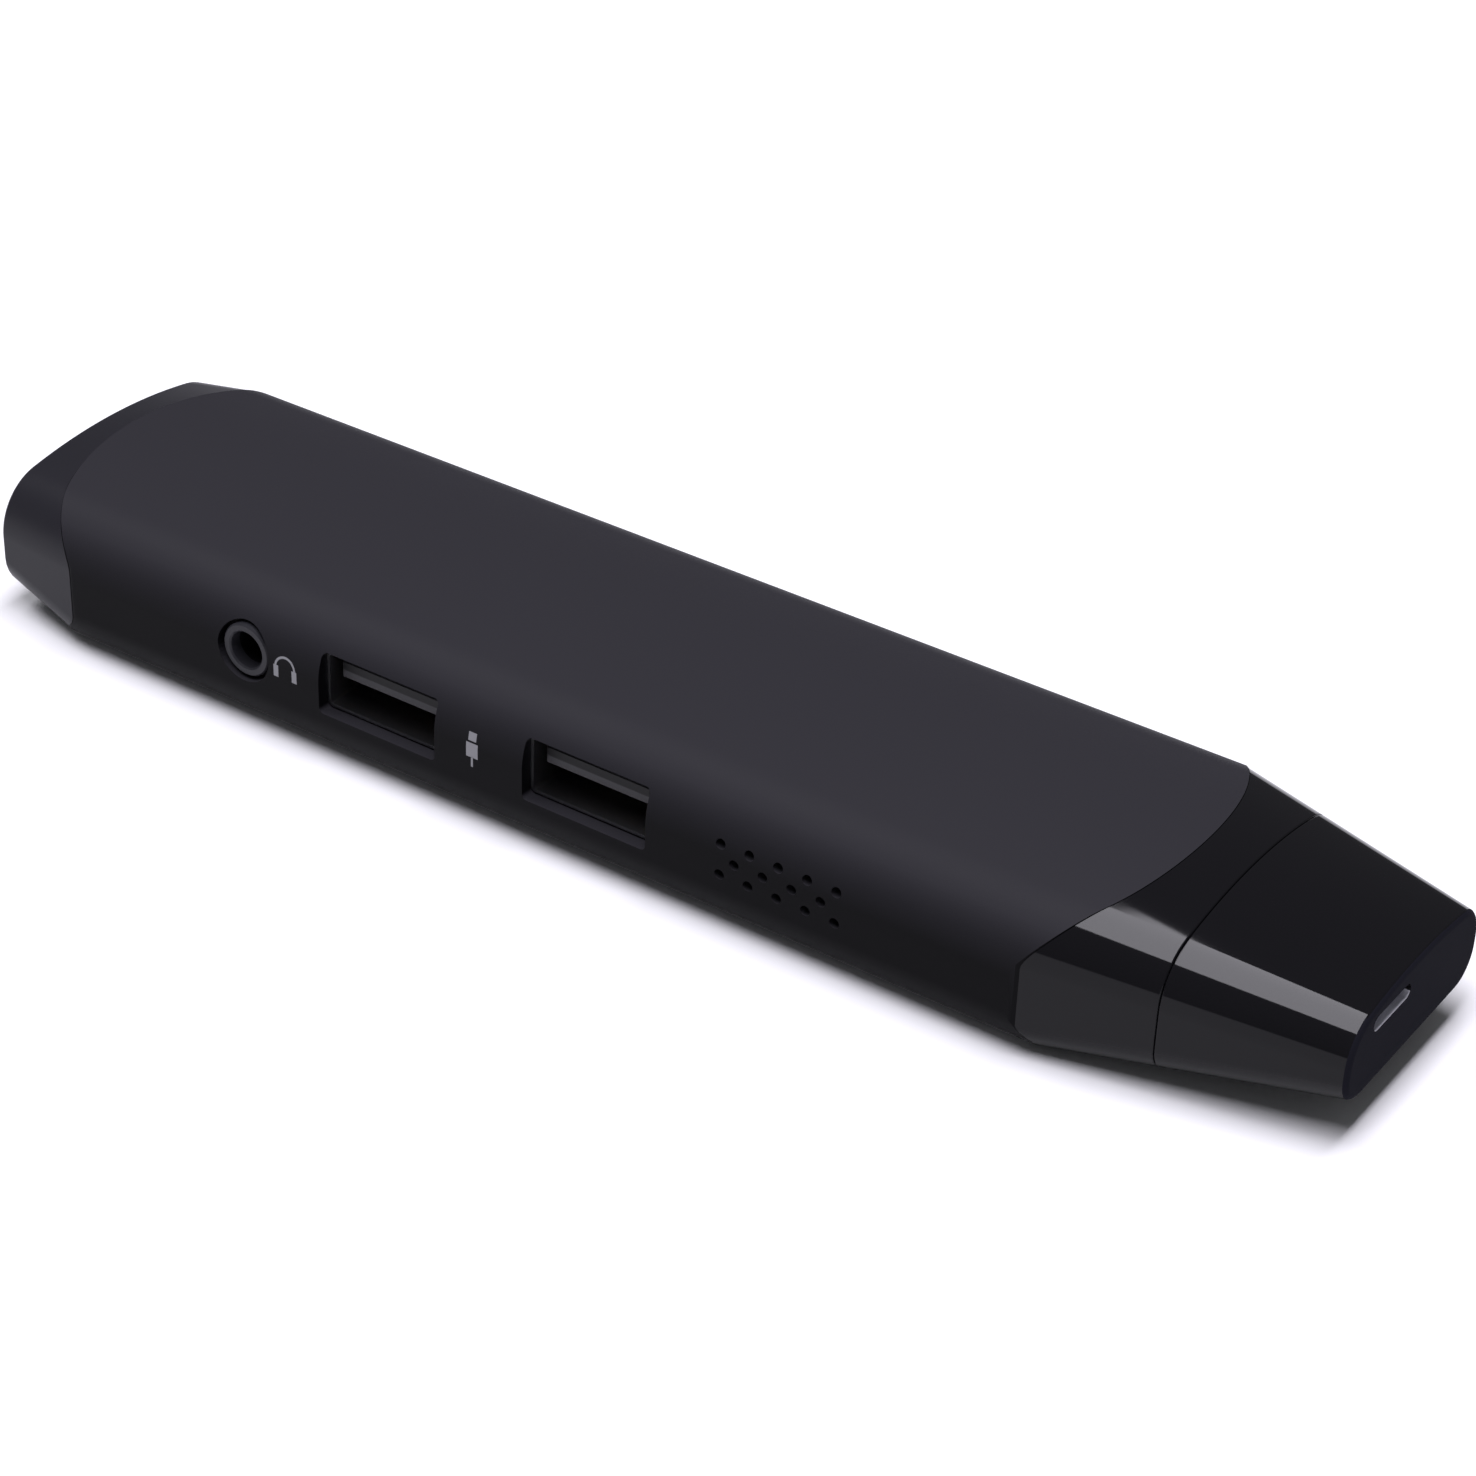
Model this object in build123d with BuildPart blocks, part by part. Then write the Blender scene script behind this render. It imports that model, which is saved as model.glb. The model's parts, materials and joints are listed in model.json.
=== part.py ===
from build123d import *
import os
from math import atan2, cos, degrees, pi, radians, sin, sqrt, tan

os.makedirs("parts", exist_ok=True)

# All sizes are in millimetres. The stick lies along X with the display plug at the +X end.
# The sockets in the photograph face -Y, and Z = 0 is the flat underside.

# Overall size
body_length = 137.9
body_width = 34.0
body_height = 14.9

# Section of the casing across its length
lower_corner = 4.2
shoulder_radius = 6.2
shoulder_drop = 7.2
shoulder_steps = 6
corner_steps = 3
rim_steps = 24
vent_sides = 12
fastener_sides = 8
lead_sides = 8

# Walls and fits
sleeve_wall = 1.3
seam_level = 1.6
seam_gap = 0.06
slip_fit = 0.12
cap_fit = 0.3
touch_gap = 0.05
solder_gap = 0.02
overrun = 1.0

# Rounded rims of the matte sleeve, measured in from the two ends
front_rim_depth = 19.4
front_rim_bulge = 8.8
rear_rim_depth = 3.7
rear_rim_bulge = 8.0
rim_overhang = 0.1
front_cover_depth = 26.6
rear_cover_depth = 9.4

# Tapered nose: the collar and the connector cap
nose_side_length = 27.45
nose_top_length = 19.65
nose_under_length = 26.9
nose_end_half_width = 11.5
nose_end_top = 11.85
nose_end_low = 3.4
nose_corner = 3.0
nose_end_radius = 3.85
nose_end_drop = 4.5
nose_root_radius = 6.47
nose_root_drop = 8.0
nose_reach = 33.0

# Tapered tail: the rear end cap
tail_side_length = 11.0
tail_top_length = 4.2
tail_under_length = 9.7
tail_end_half_width = 15.1
tail_end_top = 14.2
tail_end_low = 1.9
tail_corner = 3.6
tail_end_radius = 5.65
tail_end_drop = 6.5
tail_root_radius = 6.37
tail_root_drop = 8.02
tail_reach = 15.5

# Connector cap, collar and rear end cap
cap_length = 15.2
cap_wall = 1.4
cap_end_wall = 1.7
end_bevel = 0.5
collar_front_wall = 1.8
cap_spigot_length = 2.6
cap_spigot_wall = 1.1
sleeve_spigot_wall = 1.0
front_spigot_depth = 32.0
rear_spigot_depth = 14.5
taper_wall = 1.5
strap_slot_length = 6.4
strap_slot_height = 1.4
strap_slot_depth = 0.8
strap_slot_y = -4.6
strap_slot_z = 9.6

# Main board
board_low = 6.7
board_thickness = 1.0
board_side_gap = 1.4
board_front_depth = 23.0
board_rear_depth = 15.4
board_shoulder_depth = 33.0
board_front_step = 2.9
board_corner = 1.0
board_cut_gap = 0.25

# Sockets on the -Y side
port_level = 7.8
usb_places = (-22.6, -0.15)
usb_opening_width = 12.95
usb_opening_height = 5.9
usb_opening_corner = 0.5
usb_width = 13.1
usb_height = 5.7
usb_depth = 14.0
usb_sheet = 0.3
usb_corner = 0.55
usb_tongue_width = 11.1
usb_tongue_height = 1.85
usb_tongue_drop = 0.7
usb_tongue_depth = 8.7
usb_block_depth = 4.2
usb_contact_count = 4
usb_contact_width = 1.0
usb_contact_pitch = 2.3
usb_contact_height = 0.25
usb_contact_length = 7.0
usb_groove_gap = 0.05
usb_groove_depth = 0.2
usb_tongue_edge = 0.2
port_pocket_gap = 0.15
port_reach = 2.4

# Headphone socket
jack_x = -37.75
jack_bore_radius = 1.8
jack_ring_radius = 2.6
jack_opening_radius = 2.95
jack_ring_setback = 0.35
jack_ring_seat = 0.3
jack_ring_fit = 0.05
jack_width = 6.2
jack_height = 5.4
jack_depth = 11.6
jack_bore_floor = 1.0
jack_edge = 0.4
jack_ring_edge = 0.15
jack_contact_count = 3
jack_contact_pitch = 3.2
jack_contact_width = 1.0
jack_contact_sheet = 0.2
jack_contact_reach = 0.85
jack_contact_root = 0.9

# Side vents, seen beside the second USB socket
vent_x = 19.6
vent_level = 7.2
vent_pitch = 2.85
vent_row_step = 1.5
vent_radius = 0.48
vent_rows = (5, 4, 5)

# Power inlet, power button and status light on the +Y side
inlet_x = -44.0
inlet_width = 7.5
inlet_height = 2.5
inlet_depth = 5.0
inlet_sheet = 0.25
inlet_corner = 0.5
inlet_opening_gap = 0.4
inlet_tongue_width = 3.7
inlet_tongue_height = 0.6
inlet_tongue_setback = 0.6
inlet_block_depth = 1.4

button_x = -28.0
button_length = 8.0
button_height = 2.8
button_gap = 0.2
button_flange = 0.7
button_flange_thickness = 0.5
button_flange_gap = 0.08
button_edge = 0.3
button_lift = 1.1
switch_width = 4.6
switch_depth = 3.2
switch_height = 2.1
switch_setback = 1.3
switch_edge = 0.25
plunger_radius = 0.65
plunger_gap = 0.06
plunger_length = 1.5
plunger_room = 1.6

light_x = -20.0
light_radius = 0.6
light_gap = 0.05
light_flange_radius = 1.0
light_flange_thickness = 0.5
light_setback = 0.1
light_length = 2.9
light_block_width = 2.0
light_block_depth = 1.3
light_block_height = 1.3

# Display plug
plug_width = 13.9
plug_height = 4.45
plug_bevel_width = 1.9
plug_bevel_height = 2.3
plug_sheet = 0.3
plug_corner = 0.35
plug_tip_depth = 3.85
plug_slot_gap = 0.2
plug_flange_width = 16.6
plug_flange_height = 6.6
plug_flange_thickness = 0.4
plug_flange_corner = 0.8
plug_block_width = 15.4
plug_block_height = 6.0
plug_block_gap = 0.1
plug_block_edge = 0.4
plug_core_fit = 0.03
plug_core_setback = 0.7
plug_mouth_width = 11.8
plug_mouth_height = 1.6
plug_mouth_depth = 8.0
plug_contact_pitch = 1.0
plug_contact_width = 0.45
plug_contact_height = 0.22
plug_contact_setback = 0.6
plug_tail_length = 2.2
plug_top_count = 10
plug_under_count = 9

# Chips on the upper face of the board
processor_size = 15.0
processor_height = 0.9
processor_place = (-9.5, 6.3)
die_size = 8.5
die_height = 0.3
chip_edge = 0.12
memory_length = 7.5
memory_width = 9.0
memory_height = 1.0
memory_places = ((-24.2, 3.9), (-33.2, 3.9))
storage_size = 11.0
storage_height = 1.0
storage_place = (-43.7, 3.4)
wireless_length = 8.6
wireless_width = 9.4
wireless_height = 1.7
wireless_place = (-46.9, -8.3)
crystal_length = 3.2
crystal_width = 2.5
crystal_height = 0.8
crystal_place = (4.0, 3.0)

# Parts on the lower face of the board
power_chip_size = 5.0
power_chip_height = 0.9
power_chip_place = (-12.0, 6.6)
inductor_size = 4.0
inductor_height = 2.0
inductor_edge = 0.5
inductor_places = ((-18.6, 6.6), (-5.4, 6.6), (-5.4, 12.0))
capacitor_length = 2.0
capacitor_width = 1.25
capacitor_height = 1.2
capacitor_places = ((-15.2, 11.8), (-12.0, 11.8), (-8.9, 11.8), (-16.0, 1.9), (-12.0, 1.9), (-8.0, 1.9))
battery_radius = 4.75
battery_height = 2.1
battery_place = (-45.0, 3.6)
battery_edge = 0.3
battery_tab_width = 2.0
battery_tab_length = 3.0
battery_tab_sheet = 0.25
battery_tab_gap = 0.3

# Blower and heat spreader
fan_place = (20.5, -1.9)
fan_rotor_radius = 8.8
fan_room = 0.8
fan_wall = 1.4
fan_low = 2.6
fan_base = 0.6
fan_cover_thickness = 0.35
fan_inlet_radius = 6.8
fan_outlet_width = 16.2
fan_outlet_shift = -1.3
fan_corner = 1.6
fan_arm_width = 1.2
fan_motor_radius = 2.6
fan_motor_height = 2.6
fan_shaft_radius = 0.75
fan_shaft_gap = 0.05
fan_hub_radius = 4.6
fan_hub_wall = 0.8
fan_hub_gap = 0.3
fan_blade_count = 19
fan_blade_thickness = 0.4
fan_blade_height = 3.9
fan_blade_lean = 28
fan_blade_bow = 0.7
fan_rotor_rim = 0.4
fan_top_gap = 0.1
fan_board_gap = 0.3
pad_thickness = 0.5
spreader_thickness = 0.8
spreader_margin = 1.5
spreader_edge_gap = 0.8
spreader_corner = 0.8
fin_count = 11
fin_thickness = 0.4
fin_pitch = 1.5
fin_depth = 1.8
fin_low = 3.4

# Wireless leads and aerials
aerial_length = 10.0
aerial_height = 5.6
aerial_thickness = 0.5
aerial_places = (-7.0, 7.0)
lead_radius = 0.45
lead_lift = 0.95
lead_starts = (-6.4, -10.2)
lead_ends = (4.6, -8.0)
lead_straight = 3.0
lead_arc_share = 0.45

# Lead from the blower to the board
fan_lead_radius = 0.5
fan_plug_length = 3.0
fan_plug_width = 3.8
fan_plug_height = 1.6
fan_plug_place = (37.2, 3.6)
fan_lead_y = 2.0

# Screws
board_screw_rear_depth = 17.55
board_screw_rear_sides = (11.4, -0.6)
board_screw_middle_place = (-11.4, -9.6)
board_screw_front_depth = 35.15
board_screw_front_side = 11.8
fan_screw_places = ((11.5, 6.9), (29.5, 6.9), (29.5, -10.3))
cover_screw_rear_places = ((-31.8, -10.9), (-35.4, 10.9))
cover_screw_front_depth = 29.55
cover_screw_front_side = 9.6
screw_shank_radius = 0.7
screw_head_radius = 1.35
screw_head_height = 0.7
screw_grip = 2.4
screw_hole_gap = 0.15
thread_gap = 0.03
post_radius = 1.7
post_sink = 0.6
post_notch_gap = 0.35
recess_gap = 0.15
drive_slot_radius = 0.5
drive_slot_depth = 0.35

# Intake grille in the underside
grille_radius = 7.6
grille_slot_width = 1.2
grille_pitch = 2.2
grille_half_count = 3

# Locating lip of the bottom cover
lip_wall = 0.9
lip_height = 1.0
lip_front_depth = 35.0
lip_rear_depth = 20.0
lip_start_share = 0.76


# Places that follow from the sizes above
half_width = body_width / 2
nose_x = body_length / 2
tail_x = -body_length / 2
parting_x = nose_x - cap_length
board_top = board_low + board_thickness
board_half_width = half_width - sleeve_wall - board_side_gap
board_front_half_width = board_half_width - board_front_step
board_middle = board_low + board_thickness / 2
fan_side = 2 * (fan_rotor_radius + fan_room + fan_wall)
side_inner = half_width - sleeve_wall
board_screw_places = (
    *((tail_x + board_screw_rear_depth, side) for side in board_screw_rear_sides),
    board_screw_middle_place,
    (nose_x - board_screw_front_depth, board_screw_front_side),
    (nose_x - board_screw_front_depth, -board_screw_front_side),
)
cover_screw_places = (
    *cover_screw_rear_places,
    (nose_x - cover_screw_front_depth, cover_screw_front_side),
    (nose_x - cover_screw_front_depth, -cover_screw_front_side),
)

# The tapered ends: end plane, reach, and the sizes of the end section and of the root section
nose = (
    nose_x,
    -nose_reach,
    (nose_end_half_width, nose_end_low, nose_end_top, nose_end_radius, nose_end_drop, nose_corner),
    (
        nose_end_half_width + (half_width - nose_end_half_width) * nose_reach / nose_side_length,
        nose_end_low * (1 - nose_reach / nose_under_length),
        nose_end_top + (body_height - nose_end_top) * nose_reach / nose_top_length,
        nose_root_radius,
        nose_root_drop,
        nose_corner,
    ),
)
tail = (
    tail_x,
    tail_reach,
    (tail_end_half_width, tail_end_low, tail_end_top, tail_end_radius, tail_end_drop, tail_corner),
    (
        tail_end_half_width + (half_width - tail_end_half_width) * tail_reach / tail_side_length,
        tail_end_low * (1 - tail_reach / tail_under_length),
        tail_end_top + (body_height - tail_end_top) * tail_reach / tail_top_length,
        tail_root_radius,
        tail_root_drop,
        tail_corner,
    ),
)


def arc_points(centre, radius, angles):
    """Points on a circle at angles in degrees."""
    return [
        (centre[0] + radius * cos(radians(angle)), centre[1] + radius * sin(radians(angle)))
        for angle in angles
    ]


def crown_arc(half, radius, drop):
    """Radius of the crown that meets the shoulders smoothly, and the angle where they meet."""
    crown_radius = ((half - radius) ** 2 + drop**2 - radius**2) / (2 * (drop - radius))
    return crown_radius, degrees(atan2(crown_radius - drop, half - radius))


def section(plane, half, low, high, radius, drop, corner):
    """Outline across the body: flat underside, lower corners, round shoulders and a crowned top."""
    crown_radius, turn = crown_arc(half, radius, drop)
    with BuildSketch(plane) as outline:
        with BuildLine():
            Line((0, low), (half - corner, low))
            CenterArc((half - corner, low + corner), corner, -90, 90)
            Line((half, low + corner), (half, high - drop))
            CenterArc((half - radius, high - drop), radius, 0, turn)
            CenterArc((0, high - crown_radius), crown_radius, turn, 90 - turn)
            mirror(about=Plane.YZ)
        make_face()
    return outline.sketch


def stepped_outline(sizes, inset, turns):
    """Points round a tapered end's section, drawn in by a wall."""
    half, low, high, radius, drop, corner = sizes
    crown_radius, turn = crown_arc(half, radius, drop)
    corner_turns = [90 * step / corner_steps - 90 for step in range(corner_steps + 1)]
    side = arc_points((half - corner, low + corner), corner - inset, corner_turns)
    side += arc_points((half - radius, high - drop), radius - inset, [a for a in turns if a <= turn])
    side += arc_points((0, high - crown_radius), crown_radius - inset, [a for a in turns if a > turn])
    return side + [(0, high - inset)] + [(-across, up) for across, up in reversed(side)]


def blended(first, last, share):
    """Points part of the way from one outline to another."""
    return [(a + (c - a) * share, b + (d - b) * share) for (a, b), (c, d) in zip(first, last)]


def flat_face(points):
    """Flat face between corner points."""
    return Face(Wire.make_polygon([Vector(*point) for point in points], close=True))


def taper_form(taper, inset, bevel):
    """Tapered end form in flat-sided steps, from its end plane to a plane well inside the sleeve."""
    place, reach, end, root = taper
    meets = sorted(crown_arc(sizes[0], sizes[3], sizes[4])[1] for sizes in (end, root))
    turns = [meets[0] * step / shoulder_steps for step in range(shoulder_steps + 1)]
    turns += [meets[1], (meets[1] + 90) / 2]
    first = stepped_outline(end, inset, turns)
    last = stepped_outline(root, inset, turns)
    share = bevel / abs(reach)
    stations = [(place + reach * share, blended(first, last, share)), (place + reach, last)]
    if bevel:
        stations.insert(0, (place, stepped_outline(end, inset + bevel, turns)))
    faces = [flat_face([(x, *point) for point in points]) for x, points in (stations[0], stations[-1])]
    for (near, inner), (far, outer) in zip(stations, stations[1:]):
        for a, b, c, d in zip(inner, inner[1:] + inner[:1], outer[1:] + outer[:1], outer):
            faces.append(flat_face([(near, *a), (near, *b), (far, *c), (far, *d)]))
    return Solid(Shell(faces))


def sleeve_form(inset, start, end):
    """Straight casing form, drawn in from the outside by a wall."""
    with BuildPart() as form:
        outline = section(
            Plane.YZ.offset(start),
            half_width - inset,
            inset,
            body_height - inset,
            shoulder_radius - inset,
            shoulder_drop - inset,
            lower_corner - inset,
        )
        extrude(outline, amount=end - start)
    return form.part


def inner_form(sleeve_inset, taper, taper_inset, start, end):
    """What the sleeve and a tapered end form have in common between two planes."""
    with BuildPart() as form:
        add(sleeve_form(sleeve_inset, start, end))
        add(taper_form(taper, taper_inset, 0), mode=Mode.INTERSECT)
    return form.part


def sleeve_plan(plane, growth):
    """Plan of the sleeve, whose two rims bulge towards the ends as half ellipses in short runs."""
    front = nose_x - front_rim_depth - front_rim_bulge
    rear = tail_x + rear_rim_depth + rear_rim_bulge
    side = half_width + rim_overhang + growth
    turns = [radians(180 * step / rim_steps - 90) for step in range(rim_steps + 1)]
    points = [(front + (front_rim_bulge + growth) * cos(turn), side * sin(turn)) for turn in turns]
    points += [(rear - (rear_rim_bulge + growth) * cos(turn), -side * sin(turn)) for turn in turns]
    with BuildSketch(plane) as plan:
        with BuildLine():
            Polyline(*points, close=True)
        make_face()
    return plan.sketch


def cover_plan(plane, growth):
    """Plan of the bottom cover: the sleeve's plan with its ends cut square."""
    front = nose_x - front_cover_depth + growth
    rear = tail_x + rear_cover_depth - growth
    with BuildSketch(plane) as plan:
        add(sleeve_plan(Plane.XY, growth))
        with Locations(((front + rear) / 2, 0)):
            Rectangle(front - rear, 2 * body_width, mode=Mode.INTERSECT)
    return plan.sketch


def casing_zone(growth):
    """Room that the sleeve and the bottom cover take up between the two tapered ends."""
    with BuildPart() as zone:
        extrude(sleeve_plan(Plane.XY.offset(seam_level - growth), growth), amount=body_height)
        extrude(cover_plan(Plane.XY.offset(-overrun), growth), amount=seam_level + overrun)
    return zone.part


def roof_posts(places, low):
    """Round posts that hang from the sleeve's roof down to a level."""
    with BuildPart() as posts:
        with BuildSketch(Plane.XY.offset(low)):
            with Locations(*places):
                RegularPolygon(post_radius, fastener_sides)
        extrude(amount=body_height)
        add(sleeve_form(post_sink, tail_x, nose_x), mode=Mode.INTERSECT)
    return posts.part


def plug_face(x):
    """Plane across the plug, centred on the board's middle level."""
    return Plane.YZ.offset(x).shift_origin((x, 0, board_middle))


def plug_outline(plane, inset):
    """Outline of the display plug, with its two lower corners bevelled."""
    half = plug_width / 2 - inset
    high = plug_height / 2 - inset
    with BuildSketch(plane) as outline:
        with BuildLine():
            Polyline(
                (-half, high),
                (half, high),
                (half, plug_bevel_height - plug_height / 2),
                (half - plug_bevel_width, -high),
                (plug_bevel_width - half, -high),
                (-half, plug_bevel_height - plug_height / 2),
                close=True,
            )
        make_face()
        fillet(outline.vertices(), radius=max(plug_corner - inset, plug_corner / 2))
    return outline.sketch


# Levels and faces that several pieces share
opening_face = Plane.XZ.offset(half_width + overrun)
pocket_face = Plane.XZ.offset(side_inner)
far_face = Plane.XZ.offset(-half_width - overrun)
far_pocket_face = Plane.XZ.offset(-side_inner)
port_front = side_inner - touch_gap
spreader_low = board_top + processor_height + die_height + pad_thickness
spreader_top = spreader_low + spreader_thickness
fan_top = spreader_low - fan_top_gap
inlet_level = board_top + solder_gap + inlet_height / 2
button_level = board_top + button_lift
light_level = board_top + light_block_height / 2
post_low = sleeve_wall + touch_gap
lip_inset = sleeve_wall + slip_fit
hub_x, hub_y = fan_place


# Casing: the matte sleeve with its socket openings, vents and hanging posts
with BuildPart() as upper_shell:
    add(sleeve_form(0, tail_x, nose_x))
    extrude(sleeve_plan(Plane.XY.offset(seam_level), 0), amount=body_height, mode=Mode.INTERSECT)
    add(sleeve_form(sleeve_wall, tail_x - overrun, nose_x + overrun), mode=Mode.SUBTRACT)
    add(roof_posts(board_screw_places, board_top))
    add(roof_posts(fan_screw_places, spreader_top))
    add(roof_posts(cover_screw_places, post_low))
    for places, level in (
        (board_screw_places, board_top),
        (fan_screw_places, spreader_top),
        (cover_screw_places, post_low),
    ):
        with BuildSketch(Plane.XY.offset(level)):
            with Locations(*places):
                RegularPolygon(screw_shank_radius + thread_gap, fastener_sides)
        extrude(amount=screw_grip, mode=Mode.SUBTRACT)
    with BuildSketch(opening_face):
        with Locations(*[(x, port_level) for x in usb_places]):
            RectangleRounded(usb_opening_width, usb_opening_height, usb_opening_corner)
        with Locations((jack_x, port_level)):
            Circle(jack_opening_radius)
        for row, count in enumerate(vent_rows):
            level = vent_level + vent_row_step * (1 - row)
            with Locations((vent_x, level)):
                with GridLocations(vent_pitch, vent_row_step, count, 1):
                    RegularPolygon(vent_radius, vent_sides)
    extrude(amount=-(overrun + sleeve_wall + port_reach), mode=Mode.SUBTRACT)
    with BuildSketch(pocket_face):
        with Locations(*[(x, port_level) for x in usb_places]):
            Rectangle(usb_width + 2 * port_pocket_gap, usb_height + 2 * port_pocket_gap)
        with Locations((jack_x, port_level)):
            Rectangle(jack_width + 2 * port_pocket_gap, jack_height + 2 * port_pocket_gap)
    extrude(amount=-port_reach, mode=Mode.SUBTRACT)
    with BuildSketch(far_face):
        with Locations((inlet_x, inlet_level)):
            RectangleRounded(
                inlet_width + inlet_opening_gap,
                inlet_height + inlet_opening_gap,
                inlet_corner + inlet_opening_gap / 2,
            )
        with Locations((button_x, button_level)):
            SlotOverall(button_length + 2 * button_gap, button_height + 2 * button_gap)
        with Locations((light_x, light_level)):
            Circle(light_radius + light_gap)
    extrude(amount=overrun + sleeve_wall + port_reach, mode=Mode.SUBTRACT)
    with BuildSketch(far_pocket_face):
        with Locations((inlet_x, inlet_level)):
            Rectangle(inlet_width + 2 * port_pocket_gap, inlet_height + 2 * port_pocket_gap)
        with Locations((button_x, button_level)):
            SlotOverall(
                button_length + 2 * (button_flange + button_flange_gap),
                button_height + 2 * (button_flange + button_flange_gap),
            )
        with Locations((light_x, light_level)):
            Circle(light_flange_radius + port_pocket_gap)
    extrude(amount=port_reach, mode=Mode.SUBTRACT)


def sleeve_slab(inset, start, end, high):
    """Part of the casing form below a level."""
    with BuildPart() as slab:
        add(sleeve_form(inset, start, end))
        split(bisect_by=Plane.XY.offset(high), keep=Keep.BOTTOM)
    return slab.part


def locating_lip():
    """Pair of rails on the bottom cover that stand just inside the sleeve's walls."""
    start = tail_x + lip_rear_depth
    end = nose_x - lip_front_depth
    with BuildPart() as lip:
        add(sleeve_slab(sleeve_wall / 2, start, end, seam_level - seam_gap))
        add(sleeve_slab(lip_inset, start, end, seam_level + lip_height))
        add(sleeve_form(lip_inset + lip_wall, start, end), mode=Mode.SUBTRACT)
        with BuildSketch(Plane.XY):
            Rectangle(2 * body_length, body_width * lip_start_share)
        extrude(amount=body_height, mode=Mode.SUBTRACT)
    return lip.part


# Casing: the flat bottom cover with its locating lip, intake grille and screw recesses
with BuildPart() as bottom_cover:
    add(sleeve_form(0, tail_x, nose_x))
    extrude(cover_plan(Plane.XY, 0), amount=seam_level - seam_gap, mode=Mode.INTERSECT)
    add(sleeve_form(sleeve_wall, tail_x - overrun, nose_x + overrun), mode=Mode.SUBTRACT)
    add(locating_lip())
    with BuildSketch(Plane.XY):
        with Locations(*cover_screw_places):
            RegularPolygon(screw_shank_radius + screw_hole_gap, fastener_sides)
        for number in range(-grille_half_count, grille_half_count + 1):
            shift = number * grille_pitch
            with Locations((hub_x + shift, hub_y)):
                SlotOverall(2 * sqrt(grille_radius**2 - shift**2), grille_slot_width, rotation=90)
    extrude(amount=seam_level, mode=Mode.SUBTRACT)
    with BuildSketch(Plane.XY):
        with Locations(*cover_screw_places):
            RegularPolygon(screw_head_radius + recess_gap, fastener_sides)
    extrude(amount=screw_head_height + touch_gap, mode=Mode.SUBTRACT)

# Casing: the glossy collar in front, with a spigot into the sleeve and one into the cap
with BuildPart() as front_collar:
    add(sleeve_form(0, nose_x - nose_reach, parting_x))
    add(taper_form(nose, 0, end_bevel), mode=Mode.INTERSECT)
    add(casing_zone(touch_gap), mode=Mode.SUBTRACT)
    add(
        inner_form(
            lip_inset, nose, sleeve_spigot_wall,
            nose_x - front_spigot_depth, parting_x,
        )
    )
    add(
        inner_form(
            lip_inset + sleeve_spigot_wall, nose, taper_wall,
            nose_x - nose_reach, parting_x - collar_front_wall,
        ),
        mode=Mode.SUBTRACT,
    )
    add(
        inner_form(
            0, nose, cap_wall + cap_fit,
            parting_x - collar_front_wall / 2, parting_x + cap_spigot_length,
        )
    )
    add(
        inner_form(
            0, nose, cap_wall + cap_fit + cap_spigot_wall,
            parting_x, parting_x + cap_spigot_length + overrun,
        ),
        mode=Mode.SUBTRACT,
    )
    extrude(
        plug_outline(plug_face(parting_x - collar_front_wall - overrun), -plug_slot_gap),
        amount=collar_front_wall + 2 * overrun,
        mode=Mode.SUBTRACT,
    )
    with BuildSketch(Plane.XY):
        with Locations(*cover_screw_places):
            RegularPolygon(post_radius + post_notch_gap, fastener_sides)
    extrude(amount=body_height - sleeve_wall, mode=Mode.SUBTRACT)

# Casing: the tapered rear end cap with its spigot into the sleeve
with BuildPart() as rear_end_cap:
    add(sleeve_form(0, tail_x, tail_x + tail_reach))
    add(taper_form(tail, 0, end_bevel), mode=Mode.INTERSECT)
    add(casing_zone(touch_gap), mode=Mode.SUBTRACT)
    add(
        inner_form(
            lip_inset, tail, sleeve_spigot_wall,
            tail_x + overrun, tail_x + rear_spigot_depth,
        )
    )
    add(
        inner_form(
            lip_inset + sleeve_spigot_wall, tail, taper_wall,
            tail_x + cap_end_wall, tail_x + tail_reach,
        ),
        mode=Mode.SUBTRACT,
    )

# The connector cap that pulls off the display plug
with BuildPart() as connector_cap:
    add(sleeve_form(0, parting_x + touch_gap, nose_x))
    add(taper_form(nose, 0, end_bevel), mode=Mode.INTERSECT)
    add(
        inner_form(
            0, nose, cap_wall,
            parting_x, nose_x - cap_end_wall,
        ),
        mode=Mode.SUBTRACT,
    )
    with BuildSketch(Plane.YZ.offset(nose_x)):
        with Locations((strap_slot_y, strap_slot_z)):
            SlotOverall(strap_slot_length, strap_slot_height)
    extrude(amount=-strap_slot_depth, mode=Mode.SUBTRACT)

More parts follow.
